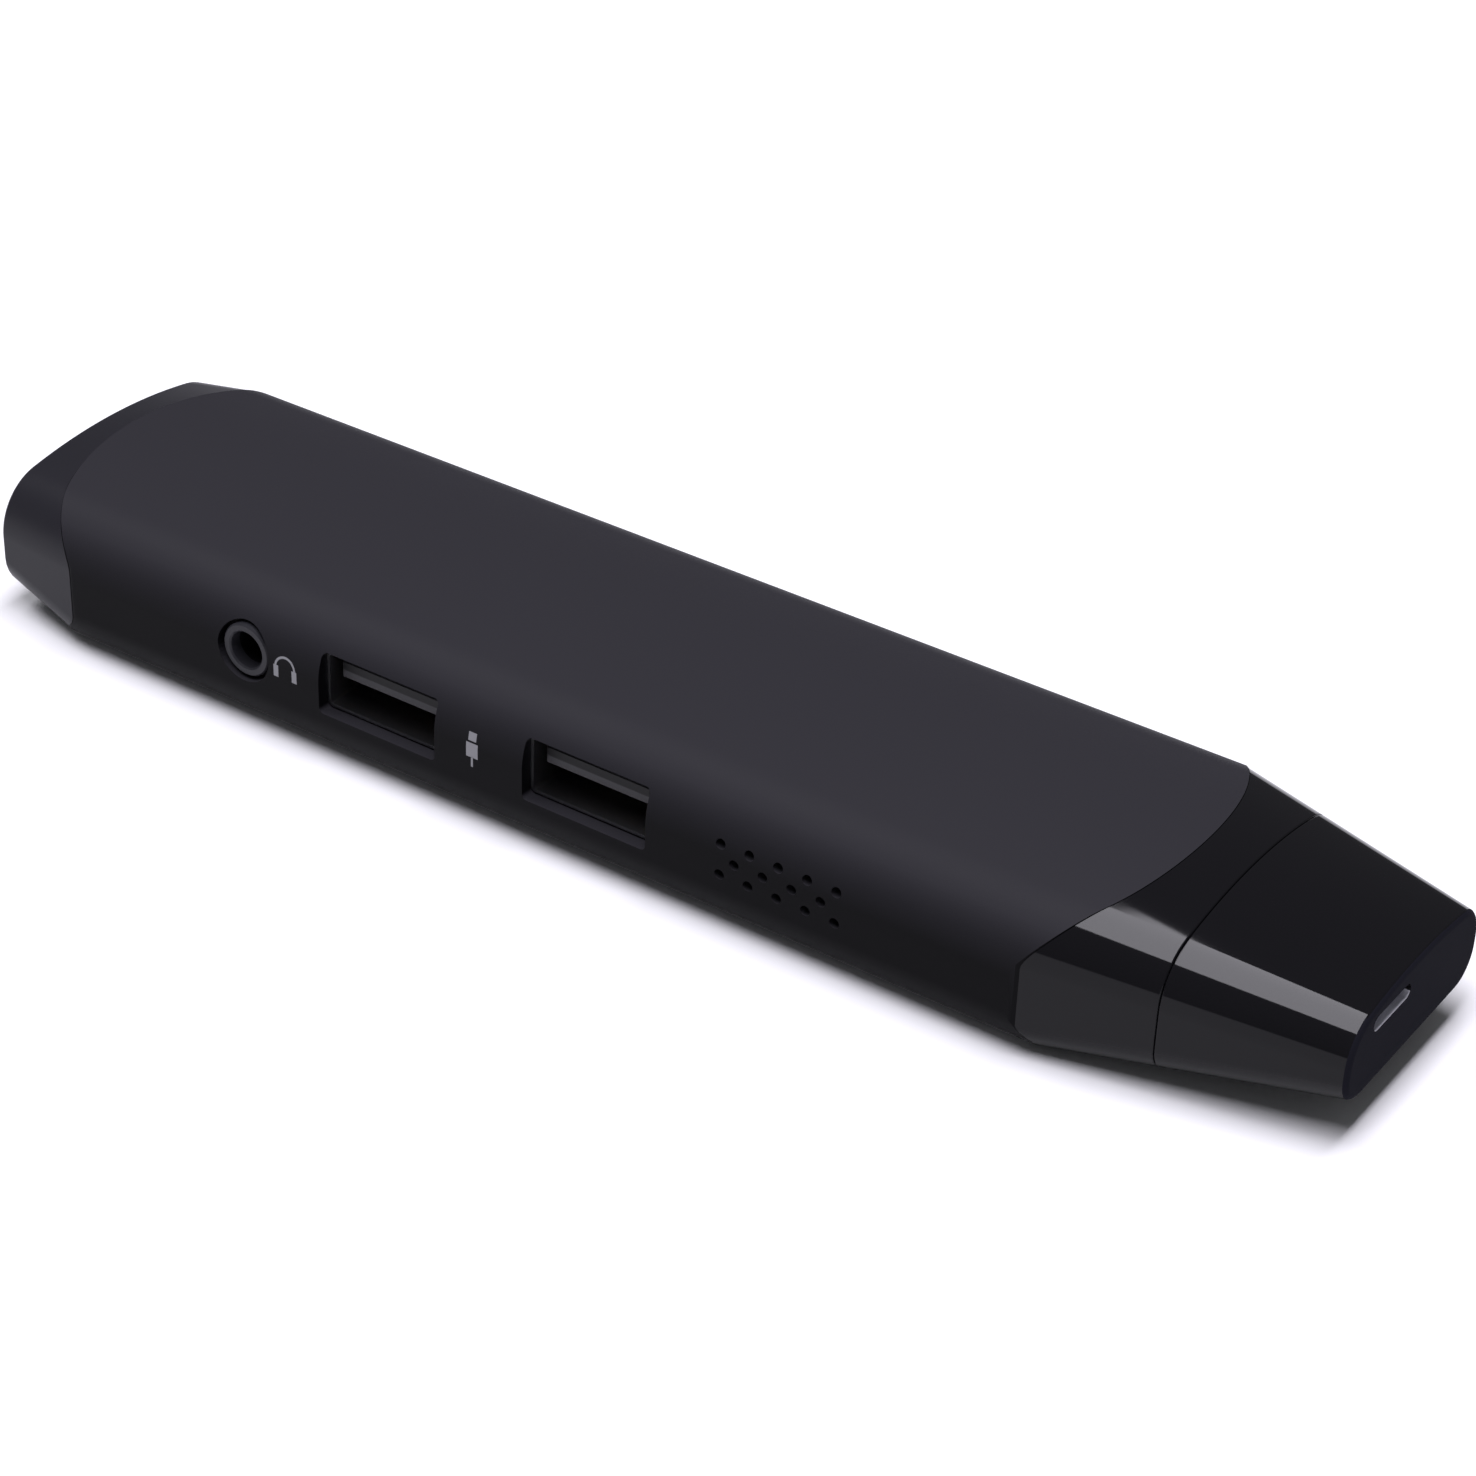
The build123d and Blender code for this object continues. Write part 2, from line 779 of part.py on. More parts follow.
# Main board, cut away round the sockets, the blower and the posts
with BuildPart() as main_board:
    rear_edge = tail_x + board_rear_depth
    shoulder_edge = nose_x - board_shoulder_depth
    front_edge = nose_x - board_front_depth
    with BuildSketch(Plane.XY.offset(board_low)) as board_outline:
        with Locations(((rear_edge + shoulder_edge) / 2, 0)):
            Rectangle(shoulder_edge - rear_edge, 2 * board_half_width)
        with Locations(((rear_edge + front_edge) / 2, 0)):
            Rectangle(front_edge - rear_edge, 2 * board_front_half_width)
        fillet(board_outline.vertices(), radius=board_corner)
        usb_back = port_front - usb_depth - board_cut_gap
        with Locations(*[(x, -(half_width + usb_back) / 2) for x in usb_places]):
            Rectangle(usb_width + 2 * board_cut_gap, half_width - usb_back, mode=Mode.SUBTRACT)
        jack_back = port_front - jack_depth - board_cut_gap
        with Locations((jack_x, -(half_width + jack_back) / 2)):
            Rectangle(jack_width + 2 * board_cut_gap, half_width - jack_back, mode=Mode.SUBTRACT)
        fan_back = hub_y + fan_side / 2 + fan_board_gap
        with Locations((hub_x, (fan_back - half_width) / 2)):
            Rectangle(fan_side + 2 * fan_board_gap, fan_back + half_width, mode=Mode.SUBTRACT)
        with Locations(*cover_screw_places):
            RegularPolygon(post_radius + post_notch_gap, fastener_sides, mode=Mode.SUBTRACT)
        with Locations(*board_screw_places):
            RegularPolygon(screw_shank_radius + screw_hole_gap, fastener_sides, mode=Mode.SUBTRACT)
    extrude(amount=board_thickness)


def tray(face, place, width, height, sheet, corner, depth):
    """Folded metal shell of a socket, open towards its face and closed at the back."""
    with BuildPart() as shell:
        with BuildSketch(face):
            with Locations(place):
                RectangleRounded(width, height, corner)
        extrude(amount=depth)
        with BuildSketch(face):
            with Locations(place):
                RectangleRounded(width - 2 * sheet, height - 2 * sheet, corner - sheet)
        extrude(amount=depth - sheet if depth > 0 else depth + sheet, mode=Mode.SUBTRACT)
    return shell.part


def usb_tongue(x):
    """Insulator of a full size socket: a block at the back and the tongue that holds the contacts."""
    back = port_front - usb_depth + usb_sheet + solder_gap
    block_face = Plane.XZ.offset(back)
    inner_width = usb_width - 2 * (usb_sheet + solder_gap)
    inner_height = usb_height - 2 * (usb_sheet + solder_gap)
    tongue_level = port_level + usb_height / 2 - usb_sheet - usb_tongue_drop - usb_tongue_height / 2
    groove_level = tongue_level - usb_tongue_height / 2
    with BuildPart() as tongue:
        with BuildSketch(block_face):
            with Locations((x, port_level)):
                RectangleRounded(inner_width, inner_height, usb_corner - usb_sheet)
        extrude(amount=usb_block_depth)
        with BuildSketch(block_face):
            with Locations((x, tongue_level)):
                Rectangle(usb_tongue_width, usb_tongue_height)
        extrude(amount=usb_block_depth + usb_tongue_depth)
        chamfer(tongue.faces().sort_by(Axis.Y)[0].edges(), length=usb_tongue_edge)
        with BuildSketch(block_face.offset(usb_block_depth)):
            with Locations((x, groove_level)):
                with GridLocations(usb_contact_pitch, usb_contact_pitch, usb_contact_count, 1):
                    Rectangle(usb_contact_width + 2 * usb_groove_gap, 2 * usb_groove_depth)
        extrude(amount=usb_contact_length + usb_groove_gap, mode=Mode.SUBTRACT)
    return tongue.part


def usb_contacts(x):
    """Four flat contacts in the grooves under a socket's tongue."""
    back = port_front - usb_depth + usb_sheet + solder_gap + usb_block_depth + solder_gap
    tongue_low = port_level + usb_height / 2 - usb_sheet - usb_tongue_drop - usb_tongue_height
    level = tongue_low + usb_groove_depth - solder_gap - usb_contact_height / 2
    with BuildPart() as contacts:
        with BuildSketch(Plane.XZ.offset(back)):
            with Locations((x, level)):
                with GridLocations(usb_contact_pitch, usb_contact_pitch, usb_contact_count, 1):
                    Rectangle(usb_contact_width, usb_contact_height)
        extrude(amount=usb_contact_length)
    return contacts.part


# Headphone socket: moulded body with its bore, metal ring and solder tabs
with BuildPart() as audio_jack_body:
    with BuildSketch(Plane.XZ.offset(port_front)):
        with Locations((jack_x, port_level)):
            Rectangle(jack_width, jack_height)
    extrude(amount=-jack_depth)
    chamfer(audio_jack_body.edges().filter_by(Axis.Y), length=jack_edge)
    with BuildSketch(Plane.XZ.offset(port_front)):
        with Locations((jack_x, port_level)):
            Circle(jack_bore_radius)
    extrude(amount=-(jack_depth - jack_bore_floor), mode=Mode.SUBTRACT)
    with BuildSketch(Plane.XZ.offset(port_front)):
        with Locations((jack_x, port_level)):
            Circle(jack_ring_radius + jack_ring_fit)
    extrude(amount=-jack_ring_seat, mode=Mode.SUBTRACT)
    with BuildSketch(Plane.XY.offset(board_top)):
        with Locations((jack_x, -(port_front - jack_depth / 2))):
            with GridLocations(jack_width, jack_contact_pitch, 2, jack_contact_count):
                Rectangle(
                    2 * (jack_contact_root + solder_gap),
                    jack_contact_width + 2 * solder_gap,
                )
    extrude(amount=jack_contact_sheet + 2 * solder_gap, mode=Mode.SUBTRACT)

with BuildPart() as audio_jack_contacts:
    with BuildSketch(Plane.XY.offset(board_top + solder_gap)):
        tab_shift = jack_width / 2 + (jack_contact_reach - jack_contact_root) / 2
        with Locations((jack_x, -(port_front - jack_depth / 2))):
            with GridLocations(2 * tab_shift, jack_contact_pitch, 2, jack_contact_count):
                Rectangle(jack_contact_root + jack_contact_reach, jack_contact_width)
    extrude(amount=jack_contact_sheet)

with BuildPart() as audio_jack_ring:
    with BuildSketch(Plane.XZ.offset(port_front - jack_ring_seat)):
        with Locations((jack_x, port_level)):
            Circle(jack_ring_radius)
            Circle(jack_bore_radius, mode=Mode.SUBTRACT)
    extrude(amount=half_width - jack_ring_setback - port_front + jack_ring_seat)
    chamfer(audio_jack_ring.faces().sort_by(Axis.Y)[0].edges(), length=jack_ring_edge)

# Power inlet on the far side
with BuildPart() as micro_usb_tongue:
    inlet_back = Plane.XZ.offset(-(port_front - inlet_depth + inlet_sheet + solder_gap))
    with BuildSketch(inlet_back):
        with Locations((inlet_x, inlet_level)):
            RectangleRounded(
                inlet_width - 2 * (inlet_sheet + solder_gap),
                inlet_height - 2 * (inlet_sheet + solder_gap),
                inlet_corner - inlet_sheet,
            )
    extrude(amount=-inlet_block_depth)
    with BuildSketch(inlet_back):
        with Locations((inlet_x, inlet_level)):
            Rectangle(inlet_tongue_width, inlet_tongue_height)
    extrude(amount=-(inlet_depth - inlet_sheet - inlet_tongue_setback))

# Power button, the plunger behind it, and the switch that the plunger works in
with BuildPart() as power_button:
    with BuildSketch(far_face.offset(overrun)):
        with Locations((button_x, button_level)):
            SlotOverall(button_length, button_height)
    extrude(amount=half_width - side_inner + button_flange_gap)
    chamfer(power_button.faces().sort_by(Axis.Y)[-1].edges(), length=button_edge)
    with BuildSketch(far_pocket_face.offset(button_flange_gap)):
        with Locations((button_x, button_level)):
            SlotOverall(button_length + 2 * button_flange, button_height + 2 * button_flange)
    extrude(amount=button_flange_thickness)

with BuildPart() as switch_plunger:
    plunger_start = button_flange_gap + button_flange_thickness
    with BuildSketch(far_pocket_face.offset(plunger_start)):
        with Locations((button_x, button_level)):
            Circle(plunger_radius)
    extrude(amount=plunger_length)

with BuildPart() as power_switch:
    with BuildSketch(Plane.XY.offset(board_top)):
        with Locations((button_x, side_inner - switch_setback - switch_depth / 2)):
            Rectangle(switch_width, switch_depth)
    extrude(amount=switch_height)
    chamfer(power_switch.faces().sort_by(Axis.Z)[-1].edges(), length=switch_edge)
    with BuildSketch(far_pocket_face.offset(switch_setback)):
        with Locations((button_x, button_level)):
            Circle(plunger_radius + plunger_gap)
    extrude(amount=plunger_room, mode=Mode.SUBTRACT)

# Status light: a clear pin in the wall and the lamp behind it
with BuildPart() as light_pipe:
    with BuildSketch(far_face.offset(overrun + light_setback)):
        with Locations((light_x, light_level)):
            Circle(light_radius)
    extrude(amount=light_length)
    with BuildSketch(far_pocket_face.offset(touch_gap)):
        with Locations((light_x, light_level)):
            Circle(light_flange_radius)
    extrude(amount=light_flange_thickness)


def slabs(places, length, width, face, height, edge):
    """Flat packages on a face of the board, with the edges of their free face broken."""
    with BuildPart() as packages:
        with BuildSketch(face):
            with Locations(*places):
                Rectangle(length, width)
        extrude(amount=height)
        free_end = -1 if height > 0 else 0
        for free_face in packages.faces().filter_by(Axis.Z).group_by(Axis.Z)[free_end]:
            chamfer(free_face.edges(), length=edge)
    return packages.part


# Display plug: metal shell, moulded core and two rows of contacts
plug_flange_x = parting_x - collar_front_wall - touch_gap - plug_flange_thickness
plug_tip_x = nose_x - plug_tip_depth
plug_core_end = plug_tip_x - plug_core_setback
plug_block_start = nose_x - board_front_depth + plug_block_gap


def contact_rows(x, grown):
    """Ends of the plug's two contact rows, each contact grown by a fit."""
    level = board_thickness / 2 + solder_gap + plug_contact_height / 2
    with BuildSketch(plug_face(x)) as rows:
        for count, side in ((plug_top_count, 1), (plug_under_count, -1)):
            with Locations((0, side * level)):
                with GridLocations(plug_contact_pitch, plug_contact_pitch, count, 1):
                    Rectangle(plug_contact_width + 2 * grown, plug_contact_height + 2 * grown)
    return rows.sketch


with BuildPart() as plug_shell:
    with BuildSketch(plug_face(plug_flange_x)):
        RectangleRounded(plug_flange_width, plug_flange_height, plug_flange_corner)
    extrude(amount=plug_flange_thickness)
    extrude(plug_outline(plug_face(plug_flange_x), 0), amount=plug_tip_x - plug_flange_x)
    extrude(
        plug_outline(plug_face(plug_flange_x), plug_sheet),
        amount=plug_tip_x - plug_flange_x,
        mode=Mode.SUBTRACT,
    )

with BuildPart() as plug_insulator:
    with BuildSketch(plug_face(plug_block_start)):
        Rectangle(plug_block_width, plug_block_height)
    extrude(amount=plug_flange_x - plug_block_start)
    chamfer(plug_insulator.edges().filter_by(Axis.X), length=plug_block_edge)
    extrude(
        plug_outline(plug_face(plug_flange_x), plug_sheet + plug_core_fit),
        amount=plug_core_end - plug_flange_x,
    )
    with BuildSketch(plug_face(plug_core_end)):
        Rectangle(plug_mouth_width, plug_mouth_height)
    extrude(amount=-plug_mouth_depth, mode=Mode.SUBTRACT)
    extrude(
        contact_rows(plug_block_start, solder_gap),
        amount=plug_core_end - plug_block_start,
        mode=Mode.SUBTRACT,
    )

with BuildPart() as plug_contacts:
    tail_start = nose_x - board_front_depth - plug_tail_length
    extrude(
        contact_rows(tail_start, 0),
        amount=plug_core_end - plug_contact_setback - tail_start,
    )

# Parts on the lower face of the board
with BuildPart() as clock_battery:
    battery_high = board_low - battery_tab_sheet - 2 * solder_gap
    with BuildSketch(Plane.XY.offset(battery_high)):
        with Locations(battery_place):
            Circle(battery_radius)
    extrude(amount=-battery_height)
    chamfer(clock_battery.faces().sort_by(Axis.Z)[0].edges(), length=battery_edge)

with BuildPart() as battery_tabs:
    battery_x, battery_y = battery_place
    tab_end = battery_radius + battery_tab_gap
    tab_low = battery_high - battery_height - solder_gap - battery_tab_sheet
    with BuildSketch(Plane.XY.offset(board_low - solder_gap)):
        with Locations((battery_x - tab_end / 2, battery_y)):
            Rectangle(tab_end + battery_tab_length, battery_tab_width)
    extrude(amount=-battery_tab_sheet)
    with BuildSketch(Plane.XY.offset(tab_low)):
        with Locations((battery_x + (tab_end + battery_tab_sheet) / 2, battery_y)):
            Rectangle(tab_end + battery_tab_sheet, battery_tab_width)
    extrude(amount=battery_tab_sheet)
    with BuildSketch(Plane.XY.offset(tab_low)):
        with Locations((battery_x + tab_end + battery_tab_sheet / 2, battery_y)):
            Rectangle(battery_tab_sheet, battery_tab_width)
    extrude(amount=board_low - solder_gap - tab_low)


def fan_case_plan(low, fit):
    """Plan of the blower's case with holes for its three screws."""
    with BuildSketch(Plane.XY.offset(low)) as plan:
        with Locations(fan_place):
            RectangleRounded(fan_side, fan_side, fan_corner)
        with Locations(*fan_screw_places):
            RegularPolygon(screw_shank_radius + fit, fastener_sides, mode=Mode.SUBTRACT)
    return plan.sketch


# Blower: case with its base, inlet arms and outlet towards the side vents
with BuildPart() as fan_housing:
    room_radius = fan_rotor_radius + fan_room
    outlet_x = hub_x + fan_outlet_shift
    cover_low = fan_top - fan_cover_thickness
    extrude(fan_case_plan(fan_low, screw_hole_gap), amount=cover_low - touch_gap - fan_low)
    with BuildSketch(Plane.XY.offset(fan_low + fan_base)):
        with Locations(fan_place):
            Circle(room_radius)
        with Locations((outlet_x, hub_y - fan_side / 2)):
            Rectangle(fan_outlet_width, fan_side)
    extrude(amount=fan_top, mode=Mode.SUBTRACT)
    with BuildSketch(Plane.XY.offset(fan_low)):
        with Locations(fan_place):
            Circle(fan_inlet_radius)
            Circle(fan_motor_radius + fan_arm_width, mode=Mode.SUBTRACT)
            for turn in (90, 210, 330):
                with Locations(Location((0, 0, 0), (0, 0, turn))):
                    with Locations((fan_inlet_radius / 2, 0)):
                        Rectangle(fan_inlet_radius, fan_arm_width, mode=Mode.SUBTRACT)
    extrude(amount=fan_base, mode=Mode.SUBTRACT)

with BuildPart() as fan_cover:
    extrude(fan_case_plan(cover_low, screw_hole_gap), amount=fan_cover_thickness)
    with BuildSketch(Plane.XY.offset(cover_low)):
        with Locations(fan_place):
            Circle(fan_inlet_radius)
    extrude(amount=fan_cover_thickness, mode=Mode.SUBTRACT)

with BuildPart() as fan_motor:
    motor_low = fan_low + fan_base + solder_gap
    shaft_high = cover_low - fan_hub_gap - fan_hub_wall
    with BuildSketch(Plane.XY.offset(motor_low)):
        with Locations(fan_place):
            Circle(fan_motor_radius)
    extrude(amount=fan_motor_height)
    with BuildSketch(Plane.XY.offset(motor_low)):
        with Locations(fan_place):
            Circle(fan_shaft_radius)
    extrude(amount=shaft_high - motor_low)


def blade_plan(face):
    """One curved blade, drawn from the hub out to the rotor's rim."""
    root = fan_hub_radius - fan_hub_wall / 2
    run = (fan_rotor_radius - root) * tan(radians(fan_blade_lean))
    middle = (root + fan_rotor_radius) / 2
    with BuildSketch(face) as plan:
        with BuildLine():
            inner = ThreePointArc(
                (root, 0),
                (middle, -run / 2 + fan_blade_bow),
                (fan_rotor_radius - fan_blade_thickness, -run),
            )
            outer = ThreePointArc(
                (root, fan_blade_thickness),
                (middle, -run / 2 + fan_blade_bow + fan_blade_thickness),
                (fan_rotor_radius - fan_blade_thickness, -run + fan_blade_thickness),
            )
            Line(inner @ 0, outer @ 0)
            Line(inner @ 1, outer @ 1)
        make_face()
    return plan.sketch


with BuildPart() as fan_rotor:
    hub_low = fan_low + fan_base + fan_hub_gap
    hub_high = cover_low - fan_hub_gap
    hub_inner = fan_hub_radius - fan_hub_wall
    with BuildSketch(Plane.XY.offset(hub_low)):
        Circle(fan_hub_radius)
    extrude(amount=hub_high - hub_low)
    chamfer(fan_rotor.faces().sort_by(Axis.Z)[-1].edges(), length=fan_hub_wall / 2)
    with BuildSketch(Plane.XY.offset(hub_low)):
        Circle(hub_inner)
        Circle(2 * fan_shaft_radius, mode=Mode.SUBTRACT)
    extrude(amount=hub_high - hub_low - fan_hub_wall, mode=Mode.SUBTRACT)
    with BuildSketch(Plane.XY.offset(hub_low)):
        Circle(2 * fan_shaft_radius)
    extrude(amount=fan_motor_height + fan_hub_gap, mode=Mode.SUBTRACT)
    with BuildSketch(Plane.XY.offset(hub_low)):
        Circle(fan_shaft_radius + fan_shaft_gap)
    extrude(amount=shaft_high + touch_gap - hub_low, mode=Mode.SUBTRACT)
    blade = blade_plan(Plane.XY)
    with BuildSketch(Plane.XY.offset(hub_low)):
        with PolarLocations(0, fan_blade_count):
            add(blade)
        Circle(hub_inner + touch_gap, mode=Mode.SUBTRACT)
    extrude(amount=fan_blade_height)
    with BuildSketch(Plane.XY.offset(hub_low)):
        Circle(fan_rotor_radius)
        Circle(fan_rotor_radius - fan_rotor_rim, mode=Mode.SUBTRACT)
    extrude(amount=fan_rotor_rim)

# Heat spreader over the processor and the blower, with fins behind the side vents
with BuildPart() as heat_spreader:
    processor_x, processor_y = processor_place
    plate_rear = processor_x - processor_size / 2 - spreader_margin
    plate_low = processor_y - processor_size / 2
    plate_high = processor_y + processor_size / 2
    fan_rear = hub_x - fan_side / 2
    fan_front = hub_x + fan_side / 2
    plate_side = side_inner - spreader_edge_gap
    fan_far = hub_y + fan_side / 2
    with BuildSketch(Plane.XY.offset(spreader_low)) as plate:
        with Locations(((plate_rear + fan_front) / 2, (plate_low + fan_far) / 2)):
            Rectangle(fan_front - plate_rear, fan_far - plate_low)
        with Locations(((plate_rear + fan_rear) / 2, (plate_low + plate_high) / 2)):
            Rectangle(fan_rear - plate_rear, plate_high - plate_low)
        with Locations(((fan_rear + fan_front) / 2, (fan_far - plate_side) / 2)):
            Rectangle(fan_front - fan_rear, fan_far + plate_side)
        fillet(plate.vertices(), radius=spreader_corner)
        with Locations(fan_place):
            Circle(fan_inlet_radius, mode=Mode.SUBTRACT)
        with Locations(*fan_screw_places):
            RegularPolygon(screw_shank_radius + screw_hole_gap, fastener_sides, mode=Mode.SUBTRACT)
    extrude(amount=spreader_thickness)
    with BuildSketch(Plane.XY.offset(spreader_low)):
        with Locations((outlet_x, fin_depth / 2 - plate_side)):
            with GridLocations(fin_pitch, fin_pitch, fin_count, 1):
                Rectangle(fin_thickness, fin_depth)
    extrude(amount=fin_low - spreader_low)


def routed_lead(points, radius, name):
    """Round lead along a route whose corners are turned with large arcs."""
    turn_radii = []
    for before, corner, after in zip(points, points[1:], points[2:]):
        run_in = Vector(*corner) - Vector(*before)
        run_out = Vector(*after) - Vector(*corner)
        half_turn = radians(run_in.get_angle(run_out) / 2)
        turn_radii.append(lead_arc_share * min(run_in.length, run_out.length) / tan(half_turn))
    with BuildPart() as lead:
        with BuildLine() as route:
            FilletPolyline(*points, radius=turn_radii)
        with BuildSketch(Plane(origin=route.line @ 0, z_dir=route.line % 0)):
            RegularPolygon(radius, lead_sides)
        sweep()
    route_length = sum(edge.length for edge in route.edges())
    expected = lead_sides / 2 * sin(2 * pi / lead_sides) * radius**2 * route_length
    print(name, "turn radii", [round(value, 2) for value in turn_radii])
    print(name, "length", round(route_length, 2), "volume ratio", round(lead.part.volume / expected, 4))
    return lead.part


# Leads: two from the wireless module to the aerials, one from the blower to the board
wireless_x = wireless_place[0]
lead_from = wireless_x - wireless_length / 2 - solder_gap
lead_to = tail_x + cap_end_wall + touch_gap + aerial_thickness + solder_gap
lead_level = board_top + lead_lift


def aerial_route(start_y, end_y):
    """Corner points of one aerial lead."""
    return (
        (lead_from, start_y, lead_level),
        (lead_from - lead_straight, start_y, lead_level),
        (lead_to + lead_straight, end_y, lead_level),
        (lead_to, end_y, lead_level),
    )


with BuildPart() as aerial_leads:
    for number, (start_y, end_y) in enumerate(zip(lead_starts, lead_ends), start=1):
        add(routed_lead(aerial_route(start_y, end_y), lead_radius, f"aerial lead {number}"))

fan_plug_x, fan_plug_y = fan_plug_place
fan_lead_from = fan_front + solder_gap
fan_lead_to = fan_plug_x - fan_plug_length / 2 - solder_gap
fan_lead_level = board_top + fan_plug_height / 2
fan_lead_step = (fan_lead_to - fan_lead_from) / 3
fan_route = (
    (fan_lead_from, fan_lead_y, fan_lead_level),
    (fan_lead_from + fan_lead_step, fan_lead_y, fan_lead_level),
    (fan_lead_to - fan_lead_step, fan_plug_y, fan_lead_level),
    (fan_lead_to, fan_plug_y, fan_lead_level),
)
fan_lead = routed_lead(fan_route, fan_lead_radius, "fan lead")

with BuildPart() as aerials:
    aerial_x = tail_x + cap_end_wall + touch_gap
    with BuildSketch(Plane.YZ.offset(aerial_x)):
        with Locations(*[(y, board_middle) for y in aerial_places]):
            Rectangle(aerial_length, aerial_height)
    extrude(amount=aerial_thickness)


def screws(places, seat, length):
    """Screws with their heads below a seat and their shanks standing up from it."""
    with BuildPart() as group:
        with BuildSketch(Plane.XY.offset(seat)):
            with Locations(*places):
                RegularPolygon(screw_head_radius, fastener_sides)
        extrude(amount=-screw_head_height)
        with BuildSketch(Plane.XY.offset(seat)):
            with Locations(*places):
                RegularPolygon(screw_shank_radius, fastener_sides)
        extrude(amount=length)
        with BuildSketch(Plane.XY.offset(seat - screw_head_height)):
            with Locations(*places):
                RegularPolygon(drive_slot_radius, 6)
        extrude(amount=drive_slot_depth, mode=Mode.SUBTRACT)
    return group.part


screw_reach = screw_grip - touch_gap
board_seat = board_low - touch_gap
fan_seat = fan_low - touch_gap
cover_seat = screw_head_height
top_face = Plane.XY.offset(board_top)
under_face = Plane.XY.offset(board_low)
die_face = Plane.XY.offset(board_top + processor_height)
pad_face = Plane.XY.offset(board_top + processor_height + die_height)
light_block_place = (
    light_x,
    half_width - light_setback - light_length - touch_gap - light_block_depth / 2,
)

pieces = {
    "upper_shell": upper_shell.part,
    "bottom_cover": bottom_cover.part,
    "front_collar": front_collar.part,
    "rear_end_cap": rear_end_cap.part,
    "connector_cap": connector_cap.part,
    "main_board": main_board.part,
    "audio_jack_body": audio_jack_body.part,
    "audio_jack_contacts": audio_jack_contacts.part,
    "audio_jack_ring": audio_jack_ring.part,
    "micro_usb_shell": tray(
        Plane.XZ.offset(-port_front), (inlet_x, inlet_level),
        inlet_width, inlet_height, inlet_sheet, inlet_corner, inlet_depth,
    ),
    "micro_usb_tongue": micro_usb_tongue.part,
    "power_button": power_button.part,
    "switch_plunger": switch_plunger.part,
    "power_switch": power_switch.part,
    "light_pipe": light_pipe.part,
    "status_led": slabs(
        [light_block_place],
        light_block_width, light_block_depth, top_face, light_block_height, chip_edge,
    ),
    "plug_shell": plug_shell.part,
    "plug_insulator": plug_insulator.part,
    "plug_contacts": plug_contacts.part,
    "processor": slabs(
        [processor_place], processor_size, processor_size, top_face, processor_height, chip_edge
    ),
    "processor_die": slabs([processor_place], die_size, die_size, die_face, die_height, chip_edge / 2),
    "thermal_pad": slabs([processor_place], die_size, die_size, pad_face, pad_thickness, chip_edge / 2),
    "heat_spreader": heat_spreader.part,
    "memory_chips": slabs(
        memory_places, memory_length, memory_width, top_face, memory_height, chip_edge
    ),
    "storage_chip": slabs(
        [storage_place], storage_size, storage_size, top_face, storage_height, chip_edge
    ),
    "wireless_module": slabs(
        [wireless_place], wireless_length, wireless_width, top_face, wireless_height, chip_edge
    ),
    "crystal": slabs(
        [crystal_place], crystal_length, crystal_width, top_face, crystal_height, chip_edge
    ),
    "power_chip": slabs(
        [power_chip_place], power_chip_size, power_chip_size, under_face, -power_chip_height, chip_edge
    ),
    "inductors": slabs(
        inductor_places, inductor_size, inductor_size, under_face, -inductor_height, inductor_edge
    ),
    "capacitors": slabs(
        capacitor_places, capacitor_length, capacitor_width, under_face, -capacitor_height, chip_edge
    ),
    "clock_battery": clock_battery.part,
    "battery_tabs": battery_tabs.part,
    "fan_housing": fan_housing.part,
    "fan_cover": fan_cover.part,
    "fan_motor": fan_motor.part,
    "fan_rotor": fan_rotor.part.moved(Location((hub_x, hub_y, 0))),
    "fan_plug": slabs(
        [fan_plug_place], fan_plug_length, fan_plug_width, top_face, fan_plug_height, chip_edge
    ),
    "fan_lead": fan_lead,
    "aerials": aerials.part,
    "aerial_leads": aerial_leads.part,
    "board_screws": screws(board_screw_places, board_seat, board_thickness + touch_gap + screw_reach),
    "fan_screws": screws(fan_screw_places, fan_seat, spreader_top - fan_seat + screw_reach),
    "cover_screws": screws(cover_screw_places, cover_seat, post_low - cover_seat + screw_reach),
}
for number, x in enumerate(usb_places, start=1):
    pieces[f"usb_shell_{number}"] = tray(
        Plane.XZ.offset(port_front), (x, port_level),
        usb_width, usb_height, usb_sheet, usb_corner, -usb_depth,
    )
    pieces[f"usb_tongue_{number}"] = usb_tongue(x)
    pieces[f"usb_contacts_{number}"] = usb_contacts(x)

for label, piece in pieces.items():
    piece.label = label
    export_step(piece, f"parts/{label}.step")
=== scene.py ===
import json
import math

import bmesh
import bpy
import numpy as np
from mathutils import Matrix, Vector


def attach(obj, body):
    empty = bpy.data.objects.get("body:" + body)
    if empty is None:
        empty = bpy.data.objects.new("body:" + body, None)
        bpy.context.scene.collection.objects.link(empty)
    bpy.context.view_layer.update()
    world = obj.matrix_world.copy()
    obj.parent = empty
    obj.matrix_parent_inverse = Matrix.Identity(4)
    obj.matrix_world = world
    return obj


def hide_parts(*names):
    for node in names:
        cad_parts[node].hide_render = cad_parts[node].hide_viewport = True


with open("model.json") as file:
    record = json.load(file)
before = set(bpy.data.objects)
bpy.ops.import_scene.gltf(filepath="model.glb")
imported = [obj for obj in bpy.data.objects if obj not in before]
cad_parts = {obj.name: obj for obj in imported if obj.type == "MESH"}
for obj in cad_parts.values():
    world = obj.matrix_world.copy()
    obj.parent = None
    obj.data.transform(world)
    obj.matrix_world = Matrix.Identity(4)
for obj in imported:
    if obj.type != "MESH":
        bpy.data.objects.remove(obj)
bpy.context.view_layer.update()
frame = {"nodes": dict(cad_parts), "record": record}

MM = 0.001

